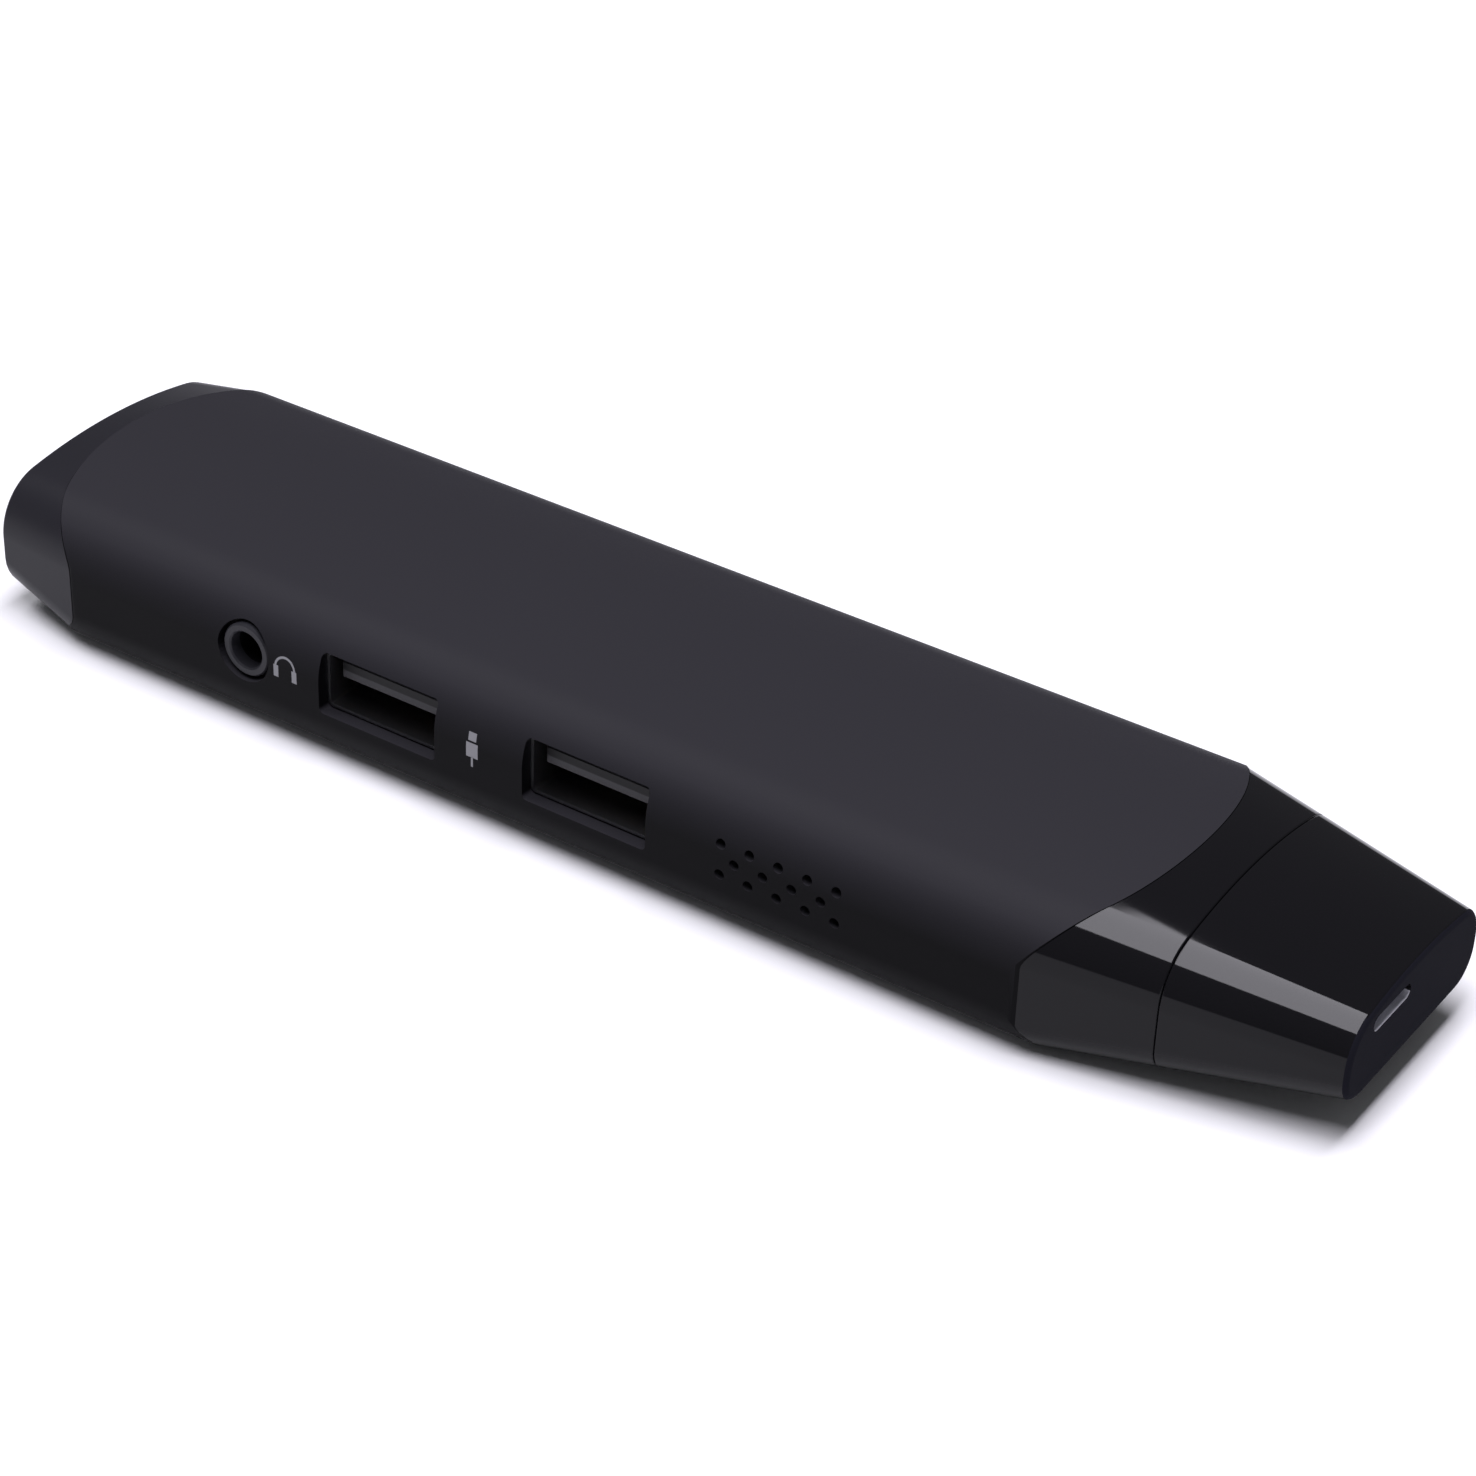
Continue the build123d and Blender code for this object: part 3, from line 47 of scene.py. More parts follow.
# The casing in millimetres, as in the part's source
LENGTH = 137.9
HALF = 17.0
HIGH = 14.9
LOWER_CORNER = 4.2
SHOULDER_RADIUS = 6.2
SHOULDER_DROP = 7.2
NOSE_X = LENGTH / 2
TAIL_X = -LENGTH / 2
WALL = 1.3
SEAM = 1.6

# Gap between mouldings that meet, and how far a cutting form runs past what it cuts
TOUCH = 0.05
BEYOND = 1.0

# The tapered ends. Reach is the length of the whole form, and side, top and under are the lengths that
# each of these slopes over. Half, low, high and corner are the end face's half width, its lower and
# upper levels and its lower corners. Radius and drop are the shoulder's, at the end face and at reach.
NOSE = {
    "reach": 33.0, "side": 27.45, "top": 19.65, "under": 26.9,
    "half": 11.5, "low": 3.4, "high": 11.85, "corner": 3.0,
    "radius": (3.85, 6.47), "drop": (4.5, 8.0),
}
TAIL = {
    "reach": 15.5, "side": 11.0, "top": 4.2, "under": 9.7,
    "half": 15.1, "low": 1.9, "high": 14.2, "corner": 3.6,
    "radius": (5.65, 6.37), "drop": (6.5, 8.02),
}
SMALLEST_CORNER = 0.2

# Bulging rims of the sleeve, and the bottom cover's two square ends
FRONT_RIM_DEPTH = 19.4
FRONT_RIM_BULGE = 8.8
REAR_RIM_DEPTH = 3.7
REAR_RIM_BULGE = 8.0
RIM_OVERHANG = 0.1
RIM_STEPS = 96
COVER_FRONT = NOSE_X - 26.6
COVER_REAR = TAIL_X + 9.4
COVER_REACH = 20

# Collar, cap and rear end cap
PARTING_X = NOSE_X - 15.2
PARTING_EDGE = 0.16
END_EDGE = 0.5
LIP_INSET = 1.42
LIP_WALL = 1.0
SPIGOT_INSET = 1.0
TAPER_WALL = 1.5
FRONT_SPIGOT_DEPTH = 32.0
FRONT_ROOM_DEPTH = 33.5
FRONT_WALL = 1.8
REAR_SPIGOT = (1.0, 14.5)
REAR_ROOM = (1.7, 15.9)
CAP_WALL = 1.4
CAP_END_WALL = 1.7
CAP_SPIGOT_INSET = 1.7
CAP_SPIGOT_HOLLOW = 2.8
CAP_SPIGOT_ROOT = 0.9
CAP_SPIGOT_LONG = 2.6
PLUG_Z = 7.2
PLUG_HOLE = (
    (-7.15, 2.425), (-7.15, -0.125), (-5.25, -2.425),
    (5.25, -2.425), (7.15, -0.125), (7.15, 2.425),
)
PLUG_HOLE_DEEP = 3.0
POSTS = ((39.4, 9.6), (39.4, -9.6))
POST_HOLE = 2.05
SLOT_Y, SLOT_Z = -4.6, 9.6
SLOT_LONG, SLOT_HIGH, SLOT_DEEP, SLOT_CORNER = 6.4, 1.4, 0.8, 0.699

# How far past the slot its faces are looked for: behind its floor, and as a share of its height from
# the middle
SLOT_MARGIN = 0.1
SLOT_HALF_SHARE = 0.51

# A face of the cap belongs to its end, or to the slot's painted glint, when its normal points forwards
# by at least this much, or for the slot forwards and upwards together
END_FACING = 0.5
SLOT_FACING = 0.3

# Openings in the sleeve's two sides, with the distances from the middle that they are cut between.
# Those of sockets, inlet and button are a width, a height and a corner.
CUT_NEAR, CUT_FAR = 14.3, 19
PORT_Z = 7.8
USB_X = (-22.6, -0.15)
USB_OPENING = (12.95, 5.9, 0.5)
JACK_X, JACK_R = -37.75, 2.95
VENT_X, VENT_Z, VENT_R = 19.6, 7.2, 0.48
VENT_PITCH, VENT_STEP = 2.85, 1.5
VENT_ROWS = (5, 4, 5)
INLET_X, INLET_Z = -44.0, 8.97
INLET_OPENING = (7.9, 2.9, 0.7)
BUTTON_X, BUTTON_Z = -28.0, 8.8
BUTTON_OPENING = (8.4, 3.2, 1.599)
LIGHT_X, LIGHT_Z, LIGHT_R = -20.0, 8.35, 0.65

# Printed marks beside the sockets. A bar is its low and high ends and its width.
PRINT_LIFT = 0.008
HEADPHONE_X, HEADPHONE_Z = -32.9, 7.85
HEADBAND = (0.98, 1.2)
EARCUP_APART = 1.04
EARCUP = (6.75, 7.95, 0.55)
PLUG_MARK_X = -12.0
PLUG_MARK = ((5.95, 6.95, 0.22), (6.9, 8.35, 1.25), (8.55, 9.35, 0.85))


# Forms
def outline(half, low, high, corner, drop, radius, arc=8, shoulder=20, crown=12):
    """Closed loop of (y, z) points round the casing's section, from the bottom centre."""
    top = ((half - radius) ** 2 + drop**2 - radius**2) / (2 * (drop - radius))
    meet = math.atan2(top - drop, half - radius)
    right = [(0.0, low)]
    for (y, z), r, first, last, count in (
        ((half - corner, low + corner), corner, -math.pi / 2, 0.0, arc),
        ((half - radius, high - drop), radius, 0.0, meet, shoulder),
        ((0.0, high - top), top, meet, math.pi / 2, crown),
    ):
        for i in range(count + 1):
            if first == meet and not i:
                continue
            a = first + (last - first) * i / count
            right.append((y + r * math.cos(a), z + r * math.sin(a)))
    left = [(-y, z) for y, z in reversed(right[1:-1])]
    return np.array(right + left)


def sleeve_at(x, inset=0.0, **fine):
    """Section of the straight sleeve, the same at every x, drawn in by a wall."""
    return outline(
        HALF - inset,
        inset,
        HIGH - inset,
        LOWER_CORNER - inset,
        SHOULDER_DROP - inset,
        SHOULDER_RADIUS - inset,
        **fine,
    )


def taper_at(taper, depth, inset, fine):
    """Section of a tapered end at a depth from its end face."""
    share = depth / taper["reach"]
    outer_drop, inner_drop = taper["drop"]
    outer_radius, inner_radius = taper["radius"]
    return outline(
        taper["half"] + (HALF - taper["half"]) * depth / taper["side"] - inset,
        taper["low"] * (1 - depth / taper["under"]) + inset,
        taper["high"] + (HIGH - taper["high"]) * depth / taper["top"] - inset,
        max(taper["corner"] - inset, SMALLEST_CORNER),
        outer_drop + (inner_drop - outer_drop) * share - inset,
        outer_radius + (inner_radius - outer_radius) * share - inset,
        **fine,
    )


def nose_at(x, inset=0.0, **fine):
    """Section of the collar and cap."""
    return taper_at(NOSE, NOSE_X - x, inset, fine)


def tail_at(x, inset=0.0, **fine):
    """Section of the rear end cap."""
    return taper_at(TAIL, x - TAIL_X, inset, fine)


def new_object(name, mesh):
    piece = bpy.data.objects.new(name, mesh)
    bpy.context.scene.collection.objects.link(piece)
    return piece


def mesh_from(name, points, faces):
    """Mesh of points in millimetres, with its faces turned outwards."""
    mesh = bpy.data.meshes.new(name)
    mesh.from_pydata([tuple(float(v) * MM for v in p) for p in points], [], faces)
    work = bmesh.new()
    work.from_mesh(mesh)
    bmesh.ops.recalc_face_normals(work, faces=work.faces)
    work.to_mesh(mesh)
    work.free()
    return mesh


def skin(name, loops):
    """Closed solid through a list of equal loops of 3-D points."""
    count = len(loops[0])
    points = [p for loop in loops for p in loop]
    faces = []
    for row in range(len(loops) - 1):
        for i in range(count):
            j = (i + 1) % count
            a, b = row * count, (row + 1) * count
            faces.append((a + i, a + j, b + j, b + i))
    faces.append(tuple(range(count)))
    faces.append(tuple(range((len(loops) - 1) * count, len(loops) * count)))
    return new_object(name, mesh_from(name, points, faces))


def along_x(name, section_at, start, end, inset=0.0, steps=1, rounding=(0.0, 0.0), turns=7):
    """Solid with a casing section between two planes, its edges rounded at either end if asked."""
    way = 1 if end > start else -1
    first, last = rounding
    stations = []
    if first:
        for a in np.linspace(math.pi / 2, 0, turns)[:-1]:
            stations.append((start + way * first * (1 - math.sin(a)), first * (1 - math.cos(a))))
    stations += [(x, 0.0) for x in np.linspace(start + way * first, end - way * last, steps + 1)]
    if last:
        for a in np.linspace(0, math.pi / 2, turns)[1:]:
            stations.append((end - way * last * (1 - math.sin(a)), last * (1 - math.cos(a))))
    return skin(name, [[(x, y, z) for y, z in section_at(x, inset + extra)] for x, extra in stations])


def upright(name, plan, low, high):
    """Solid with an (x, y) plan between two levels."""
    return skin(name, [[(x, y, low) for x, y in plan], [(x, y, high) for x, y in plan]])


def across(name, profile, start, end):
    """Solid with an (x, z) profile between two y levels."""
    return skin(name, [[(x, start, z) for x, z in profile], [(x, end, z) for x, z in profile]])


def lengthwise(name, profile, start, end):
    """Solid with a (y, z) profile between two x planes."""
    return skin(name, [[(x, y, z) for y, z in profile] for x in (start, end)])


def rounded(cx, cz, width, height, radius, steps=6):
    """Rectangle with round corners."""
    points = []
    for k, (sx, sz) in enumerate(((1, 1), (-1, 1), (-1, -1), (1, -1))):
        for i in range(steps + 1):
            a = math.pi / 2 * (k + i / steps)
            points.append((
                cx + sx * (width / 2 - radius) + radius * math.cos(a),
                cz + sz * (height / 2 - radius) + radius * math.sin(a),
            ))
    return points


def disc(cx, cz, radius, steps=24):
    turns = [2 * math.pi * i / steps for i in range(steps)]
    return [(cx + radius * math.cos(a), cz + radius * math.sin(a)) for a in turns]


def rim_plan(growth):
    """Plan of the matte sleeve with its two bulging rims."""
    side = HALF + RIM_OVERHANG + growth
    front = NOSE_X - FRONT_RIM_DEPTH - FRONT_RIM_BULGE
    rear = TAIL_X + REAR_RIM_DEPTH + REAR_RIM_BULGE
    points = []
    for centre, bulge, first in (
        (front, FRONT_RIM_BULGE, -math.pi / 2),
        (rear, REAR_RIM_BULGE, math.pi / 2),
    ):
        for i in range(RIM_STEPS + 1):
            a = first + math.pi * i / RIM_STEPS
            points.append((centre + (bulge + growth) * math.cos(a), side * math.sin(a)))
    return points


def zone_top(growth):
    """Room that the sleeve takes up above the seam."""
    return upright("zone", rim_plan(growth), SEAM - growth, HIGH + 2 * BEYOND)


def cover_zone(growth):
    """Room that the bottom cover takes up below the seam."""
    front, rear = COVER_FRONT + growth, COVER_REAR - growth
    plan = [(rear, -COVER_REACH), (front, -COVER_REACH), (front, COVER_REACH), (rear, COVER_REACH)]
    return upright("zone", plan, -BEYOND, SEAM)


def join(piece, tool, how):
    """Applies one boolean and throws the tool away."""
    step = piece.modifiers.new("cut", "BOOLEAN")
    step.operation = how
    step.solver = "EXACT"
    step.object = tool
    graph = bpy.context.evaluated_depsgraph_get()
    mesh = bpy.data.meshes.new_from_object(piece.evaluated_get(graph))
    piece.modifiers.clear()
    piece.data = mesh
    bpy.data.objects.remove(tool)


def fit_spigot(piece, section_at, spigot, room, span):
    """Adds the spigot that slips into the sleeve, and hollows the piece out behind it."""
    for (start, end), inset, lip, how in (
        (spigot, SPIGOT_INSET, LIP_INSET, "UNION"),
        (room, TAPER_WALL, LIP_INSET + LIP_WALL, "DIFFERENCE"),
    ):
        form = along_x("tool", section_at, start, end, inset=inset, steps=6)
        join(form, along_x("tool", sleeve_at, *span, inset=lip), "INTERSECT")
        join(piece, form, how)


def true_normals(piece, sections, reach=0.03, nearest=1.5, alike=0.94, step=0.01):
    """Gives the outer faces the exact normals of the casing's forms, and leaves the rest flat."""
    mesh = piece.data
    points = np.empty(len(mesh.vertices) * 3)
    mesh.vertices.foreach_get("co", points)
    points = points.reshape(-1, 3) / MM
    fine = {"arc": 60, "shoulder": 120, "crown": 140}
    cache = {}

    def exact(x, y, z):
        found = []
        for number, section_at in enumerate(sections):
            key = (number, round(x, 4))
            if key not in cache:
                here, there = section_at(x, **fine), section_at(x + step, **fine)
                cache[key] = (here, (there - here) / step, np.roll(here, -1, 0) - np.roll(here, 1, 0))
            here, slope, along = cache[key]
            gaps = np.hypot(here[:, 0] - y, here[:, 1] - z)
            i = int(np.argmin(gaps))
            side = np.hypot(along[i, 0], along[i, 1]) or 1.0
            off = abs((y - here[i, 0]) * along[i, 1] - (z - here[i, 1]) * along[i, 0]) / side
            if off < reach and gaps[i] < nearest:
                normal = np.cross((1.0, slope[i, 0], slope[i, 1]), (0.0, along[i, 0], along[i, 1]))
                normal /= np.linalg.norm(normal)
                if normal[1] * y + normal[2] * (z - HIGH / 2) < 0:
                    normal = -normal
                found.append(normal)
        return found

    vertex_normals = [exact(*p) for p in points]
    normals = []
    for face in mesh.polygons:
        flat = np.array(face.normal)
        for vertex in face.vertices:
            best = flat
            close = alike
            for candidate in vertex_normals[vertex]:
                match = float(candidate @ flat)
                if match > close:
                    best, close = candidate, match
            normals.append(tuple(best))
    mesh.polygons.foreach_set("use_smooth", [True] * len(mesh.polygons))
    mesh.normals_split_custom_set(normals)
    mesh.update()


def finish_piece(piece, sections, node, materials, body="casing"):
    """Smooths a moulding, paints it and puts it in place of its node."""
    true_normals(piece, sections)
    piece.data.materials.clear()
    for material in materials:
        piece.data.materials.append(material)
    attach(piece, body)
    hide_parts(node)


# Materials
class Socket:
    """Output socket that can be used in plain sums."""

    def __init__(self, tree, socket):
        self.tree = tree
        self.socket = socket

    def _math(self, kind, other, flip=False):
        node = self.tree.nodes.new("ShaderNodeMath")
        node.operation = kind
        pair = (other, self) if flip else (self, other)
        for slot, value in zip(node.inputs, pair):
            if isinstance(value, Socket):
                self.tree.links.new(value.socket, slot)
            else:
                slot.default_value = value
        return Socket(self.tree, node.outputs[0])

    def __add__(self, other):
        return self._math("ADD", other)

    def __radd__(self, other):
        return self._math("ADD", other, True)

    def __sub__(self, other):
        return self._math("SUBTRACT", other)

    def __rsub__(self, other):
        return self._math("SUBTRACT", other, True)

    def __mul__(self, other):
        return self._math("MULTIPLY", other)

    def __rmul__(self, other):
        return self._math("MULTIPLY", other, True)

    def clamp(self, low, high):
        return self._math("MAXIMUM", low)._math("MINIMUM", high)


class Nodes:
    """Tree of shader nodes, and the one way of adding to it."""

    def __init__(self, tree):
        self.tree = tree

    def node(self, kind, output, settings=None, numbered=None, **named):
        """Adds any node, sets or links its inputs by name or number, and returns one of its outputs."""
        node = self.tree.nodes.new(kind)
        for key, value in (settings or {}).items():
            setattr(node, key, value)
        for key, value in {**named, **(numbered or {})}.items():
            if isinstance(value, Socket):
                self.tree.links.new(value.socket, node.inputs[key])
            else:
                node.inputs[key].default_value = value
        return Socket(self.tree, node.outputs[output])


class Paint(Nodes):
    """One material and its Principled shader."""

    def __init__(self, name, color, roughness, metallic=0.0, coat=0.0, specular=0.5):
        self.material = bpy.data.materials.new(name)
        self.material.use_nodes = True
        super().__init__(self.material.node_tree)
        self.shader = self.tree.nodes["Principled BSDF"]
        self.set("Base Color", (*color, 1.0))
        self.set("Roughness", roughness)
        self.set("Metallic", metallic)
        self.set("Coat Weight", coat)
        self.set("Specular IOR Level", specular)

    def set(self, name, value):
        self.shader.inputs[name].default_value = value

    def link(self, name, value):
        self.tree.links.new(value.socket, self.shader.inputs[name])

    def place(self):
        return self.node("ShaderNodeTexCoord", "Object")

    def noise(self, scale, detail=3.0):
        return self.node(
            "ShaderNodeTexNoise", "Fac",
            Vector=self.place(), Scale=scale, Detail=detail, Roughness=0.55,
        )

    def height(self, vector):
        """Upward share of a vector."""
        return self.node("ShaderNodeSeparateXYZ", "Z", Vector=vector)

    def tint(self, factor, low, high):
        return self.node(
            "ShaderNodeMix", "Result", {"data_type": "RGBA"},
            Factor=factor, A=(*low, 1.0), B=(*high, 1.0),
        )

    def bump(self, height, strength, distance):
        normal = self.node(
            "ShaderNodeBump", "Normal", Height=height, Strength=strength, Distance=distance,
        )
        self.link("Normal", normal)


# Scale of the slow mottling that the materials share
MOTTLE = 60.0


def shade(color, share):
    return tuple(c * share for c in color)


def grained(name, color, roughness, grain, depth, strength, spread=0.08, vary=0.06, **more):
    """Plastic or metal with slow mottling, uneven roughness and a fine grain."""
    paint = Paint(name, color, roughness, **more)
    slow = paint.noise(MOTTLE)
    fine = paint.noise(grain, detail=2.0)
    paint.link("Base Color", paint.tint(slow, shade(color, 1 - vary), shade(color, 1 + vary)))
    paint.link("Roughness", (roughness - spread / 2 + spread * slow).clamp(0.02, 1.0))
    paint.bump(fine, strength, depth)
    return paint.material


def soft_touch_painted_shade():
    """Matte coating of the sleeve, whose walls look darker than its top: painted shade, with the walls
    painted darker and the top painted lighter by which way the surface faces.
    """
    paint = Paint("sleeve_soft", (0.02, 0.02, 0.02), 0.5, specular=0.06)
    slow = paint.noise(MOTTLE)
    fine = paint.noise(4200.0, detail=2.0)
    up = paint.height(paint.node("ShaderNodeNewGeometry", "Normal"))
    painted_light_share = (up * 1.4 - 0.05 + 0.08 * slow).clamp(0.0, 1.0)
    # Painted shade and light: the walls take the dark colour and the top the light one, by how far the
    # normal points up
    dark = (0.0020, 0.0019, 0.0026)
    light = (0.0253, 0.0245, 0.0290)
    paint.link("Base Color", paint.tint(painted_light_share, dark, light))
    paint.link("Roughness", (0.46 + 0.08 * slow).clamp(0.02, 1.0))
    paint.bump(fine, 0.35, 0.000018)
    return paint.material


def tongue_painted_light():
    """Socket tongue with painted light and shade: its lower part is painted as lit, and its upper part
    is painted dark as if in the socket's shade.
    """
    paint = Paint("socket_tongue", (0.02, 0.02, 0.02), 0.45, specular=0.2)
    slow = paint.noise(MOTTLE)
    fine = paint.noise(2500.0, detail=2.0)
    # Painted light and shade: below this height the tongue is painted lighter, above it darker
    edge, sharpness = 0.00862, 8000.0
    shaded = ((paint.height(paint.place()) - edge) * sharpness).clamp(0.0, 1.0)
    lit = (0.045, 0.044, 0.048)
    dark = (0.0025, 0.0025, 0.003)
    paint.link("Base Color", paint.tint(shaded, lit, dark))
    paint.link("Roughness", (0.42 + 0.06 * slow).clamp(0.02, 1.0))
    paint.bump(fine, 0.2, 0.00001)
    return paint.material


SLEEVE = soft_touch_painted_shade()
SOCKET_TONGUE = tongue_painted_light()

# Dark plastics of the casing: colour, roughness, then the grain's scale, depth and strength
GLOSS = grained(
    "gloss_black", (0.0065, 0.0063, 0.0075), 0.06, 500.0, 0.000004, 0.05, spread=0.03, specular=0.16,
)
CAP_END = grained("cap_end", (0.012, 0.012, 0.017), 0.5, 2400.0, 0.00001, 0.3, specular=0.003)
# Painted glint: light grey paint on the slot's floor and lower wall stands for light caught there
SLOT_PAINTED_GLINT = grained("cap_slot_painted_glint", (0.55, 0.55, 0.60), 0.4, 2400.0, 0.00001, 0.2)
SATIN = grained("satin_dark", (0.017, 0.0165, 0.0205), 0.36, 3000.0, 0.00001, 0.2, specular=0.11)
BASE = grained("base_plastic", (0.022, 0.021, 0.024), 0.55, 2600.0, 0.00003, 0.5)
TONGUE = grained("tongue_plastic", (0.022, 0.022, 0.024), 0.42, 2500.0, 0.00001, 0.2)
JACK = grained("jack_plastic", (0.003, 0.003, 0.0035), 0.5, 2500.0, 0.00001, 0.2, specular=0.1)
RING = grained("jack_ring", (0.019, 0.019, 0.023), 0.4, 2500.0, 0.000008, 0.2, specular=0.2)
PRINT = grained("print_grey", (0.21, 0.21, 0.225), 0.6, 2500.0, 0.000004, 0.1)

# Metals
METAL = grained("plated_steel", (0.62, 0.62, 0.64), 0.28, 1500.0, 0.000006, 0.15, metallic=1.0)
SHELL = grained("socket_shell", (0.26, 0.26, 0.27), 0.34, 1500.0, 0.000006, 0.15, metallic=1.0)
GOLD = grained("contact_gold", (0.83, 0.62, 0.28), 0.25, 1800.0, 0.000004, 0.1, metallic=1.0)
SHIELD = grained("shield_metal", (0.68, 0.68, 0.70), 0.33, 1200.0, 0.000006, 0.15, metallic=1.0)
HEAT = grained("heat_aluminium", (0.74, 0.74, 0.76), 0.35, 1000.0, 0.000006, 0.15, metallic=1.0)
CELL = grained("cell_steel", (0.70, 0.70, 0.70), 0.3, 1300.0, 0.000006, 0.15, metallic=1.0)
FOIL = grained("aerial_foil", (0.70, 0.48, 0.22), 0.35, 1500.0, 0.00001, 0.2, metallic=1.0)
SCREW = grained("screw_steel", (0.16, 0.16, 0.17), 0.35, 1500.0, 0.000008, 0.2, metallic=1.0)

# Parts on the board
BOARD = grained("board_mask", (0.015, 0.085, 0.05), 0.35, 900.0, 0.00001, 0.2, coat=0.4)
CHIP = grained("chip_plastic", (0.025, 0.025, 0.027), 0.6, 3000.0, 0.000012, 0.3)
DIE = grained("die", (0.09, 0.10, 0.13), 0.12, 800.0, 0.000002, 0.05)
PAD = grained("thermal_pad", (0.42, 0.46, 0.52), 0.8, 1500.0, 0.00003, 0.4)
FERRITE = grained("ferrite", (0.09, 0.09, 0.10), 0.7, 2000.0, 0.00002, 0.4)
CERAMIC = grained("ceramic", (0.42, 0.31, 0.21), 0.5, 2000.0, 0.00001, 0.3)
CLEAR = grained("clear_plastic", (0.75, 0.77, 0.82), 0.15, 900.0, 0.000004, 0.1, coat=0.5)
LEAD = grained("lead_skin", (0.025, 0.025, 0.027), 0.5, 2200.0, 0.00001, 0.3)
CREAM = grained("cream_plastic", (0.75, 0.74, 0.68), 0.5, 2000.0, 0.00001, 0.2)

SLOT_PAINT = {
    "base_plastic": BASE,
    "satin_dark": SATIN,
    "gloss_black": GLOSS,
    "button_plastic": GLOSS,
    "sleeve": SLEEVE,
    "socket_metal": METAL,
    "contact_gold": GOLD,
    "tongue_plastic": TONGUE,
    "jack_plastic": JACK,
    "ring_plastic": RING,
    "board": BOARD,
    "chip_plastic": CHIP,
    "shield_metal": SHIELD,
    "die": DIE,
    "pad": PAD,
    "heat_metal": HEAT,
    "ferrite": FERRITE,
    "ceramic": CERAMIC,
    "cell_metal": CELL,
    "fan_plastic": TONGUE,
    "motor_metal": METAL,
    "light_plastic": CLEAR,
    "led": CLEAR,
    "lead_skin": LEAD,
    "plug_white": CREAM,
    "aerial_foil": FOIL,
    "screw_steel": SCREW,
}
for entry in frame["record"]["subparts"]:
    node = frame["nodes"][entry["node"]]
    node.data.materials.clear()
    node.data.materials.append(SLOT_PAINT[entry["material_slot"]])
# The socket tongues get their paint with painted light and shade, and the socket shells their own metal
for number in (1, 2):
    frame["nodes"][f"usb_tongue_{number}"].data.materials[0] = SOCKET_TONGUE
    frame["nodes"][f"usb_shell_{number}"].data.materials[0] = SHELL

# The matte sleeve and the openings in its sides
near_openings = [rounded(x, PORT_Z, *USB_OPENING) for x in USB_X]
near_openings.append(disc(JACK_X, PORT_Z, JACK_R, steps=48))
for row, count in enumerate(VENT_ROWS):
    for column in range(count):
        vent_x = VENT_X + VENT_PITCH * (column - (count - 1) / 2)
        near_openings.append(disc(vent_x, VENT_Z + VENT_STEP * (1 - row), VENT_R))
far_openings = [
    rounded(INLET_X, INLET_Z, *INLET_OPENING),
    rounded(BUTTON_X, BUTTON_Z, *BUTTON_OPENING, steps=12),
    disc(LIGHT_X, LIGHT_Z, LIGHT_R),
]

sleeve = along_x("sleeve", sleeve_at, TAIL_X, NOSE_X)
join(sleeve, zone_top(0), "INTERSECT")
join(sleeve, along_x("tool", sleeve_at, TAIL_X - BEYOND, NOSE_X + BEYOND, inset=WALL), "DIFFERENCE")
for profile in near_openings:
    join(sleeve, across("tool", profile, -CUT_FAR, -CUT_NEAR), "DIFFERENCE")
for profile in far_openings:
    join(sleeve, across("tool", profile, CUT_NEAR, CUT_FAR), "DIFFERENCE")
finish_piece(sleeve, [sleeve_at], "upper_shell", [SLEEVE])

# The glossy collar, with the spigot that the cap seats on
collar = along_x(
    "collar", nose_at, NOSE_X - NOSE["reach"], PARTING_X, steps=12, rounding=(0.0, PARTING_EDGE),
)
join(collar, along_x("tool", sleeve_at, 0, NOSE_X), "INTERSECT")
join(collar, zone_top(TOUCH), "DIFFERENCE")
join(collar, cover_zone(TOUCH), "DIFFERENCE")
fit_spigot(
    collar,
    nose_at,
    (NOSE_X - FRONT_SPIGOT_DEPTH, PARTING_X),
    (NOSE_X - FRONT_ROOM_DEPTH, PARTING_X - FRONT_WALL),
    (0, NOSE_X),
)
spigot_end = PARTING_X + CAP_SPIGOT_LONG
cap_spigot = along_x("tool", nose_at, PARTING_X - CAP_SPIGOT_ROOT, spigot_end, inset=CAP_SPIGOT_INSET)
join(collar, cap_spigot, "UNION")
hollow = along_x("tool", nose_at, PARTING_X, spigot_end + BEYOND, inset=CAP_SPIGOT_HOLLOW)
join(collar, hollow, "DIFFERENCE")
plug_hole = [(y, PLUG_Z + z) for y, z in PLUG_HOLE]
plug_cut = lengthwise("tool", plug_hole, PARTING_X - PLUG_HOLE_DEEP, PARTING_X + BEYOND)
join(collar, plug_cut, "DIFFERENCE")
for x, y in POSTS:
    join(collar, upright("tool", disc(x, y, POST_HOLE), -BEYOND, HIGH - WALL), "DIFFERENCE")
finish_piece(collar, [nose_at], "front_collar", [GLOSS])

# The glossy cap, with the slot in its end face. The end face has a paint of its own, and the slot's
# floor and lower wall are painted light grey as a painted glint.
cap = along_x("cap", nose_at, PARTING_X + TOUCH, NOSE_X, steps=8, rounding=(PARTING_EDGE, END_EDGE))
cap_room = along_x("tool", nose_at, PARTING_X, NOSE_X - CAP_END_WALL, inset=CAP_WALL, steps=6)
join(cap, cap_room, "DIFFERENCE")
slot_profile = rounded(SLOT_Y, SLOT_Z, SLOT_LONG, SLOT_HIGH, SLOT_CORNER, steps=8)
join(cap, lengthwise("tool", slot_profile, NOSE_X - SLOT_DEEP, NOSE_X + BEYOND), "DIFFERENCE")
cap_paints = [GLOSS, CAP_END, SLOT_PAINTED_GLINT]
finish_piece(cap, [nose_at], "connector_cap", cap_paints, body="cap")
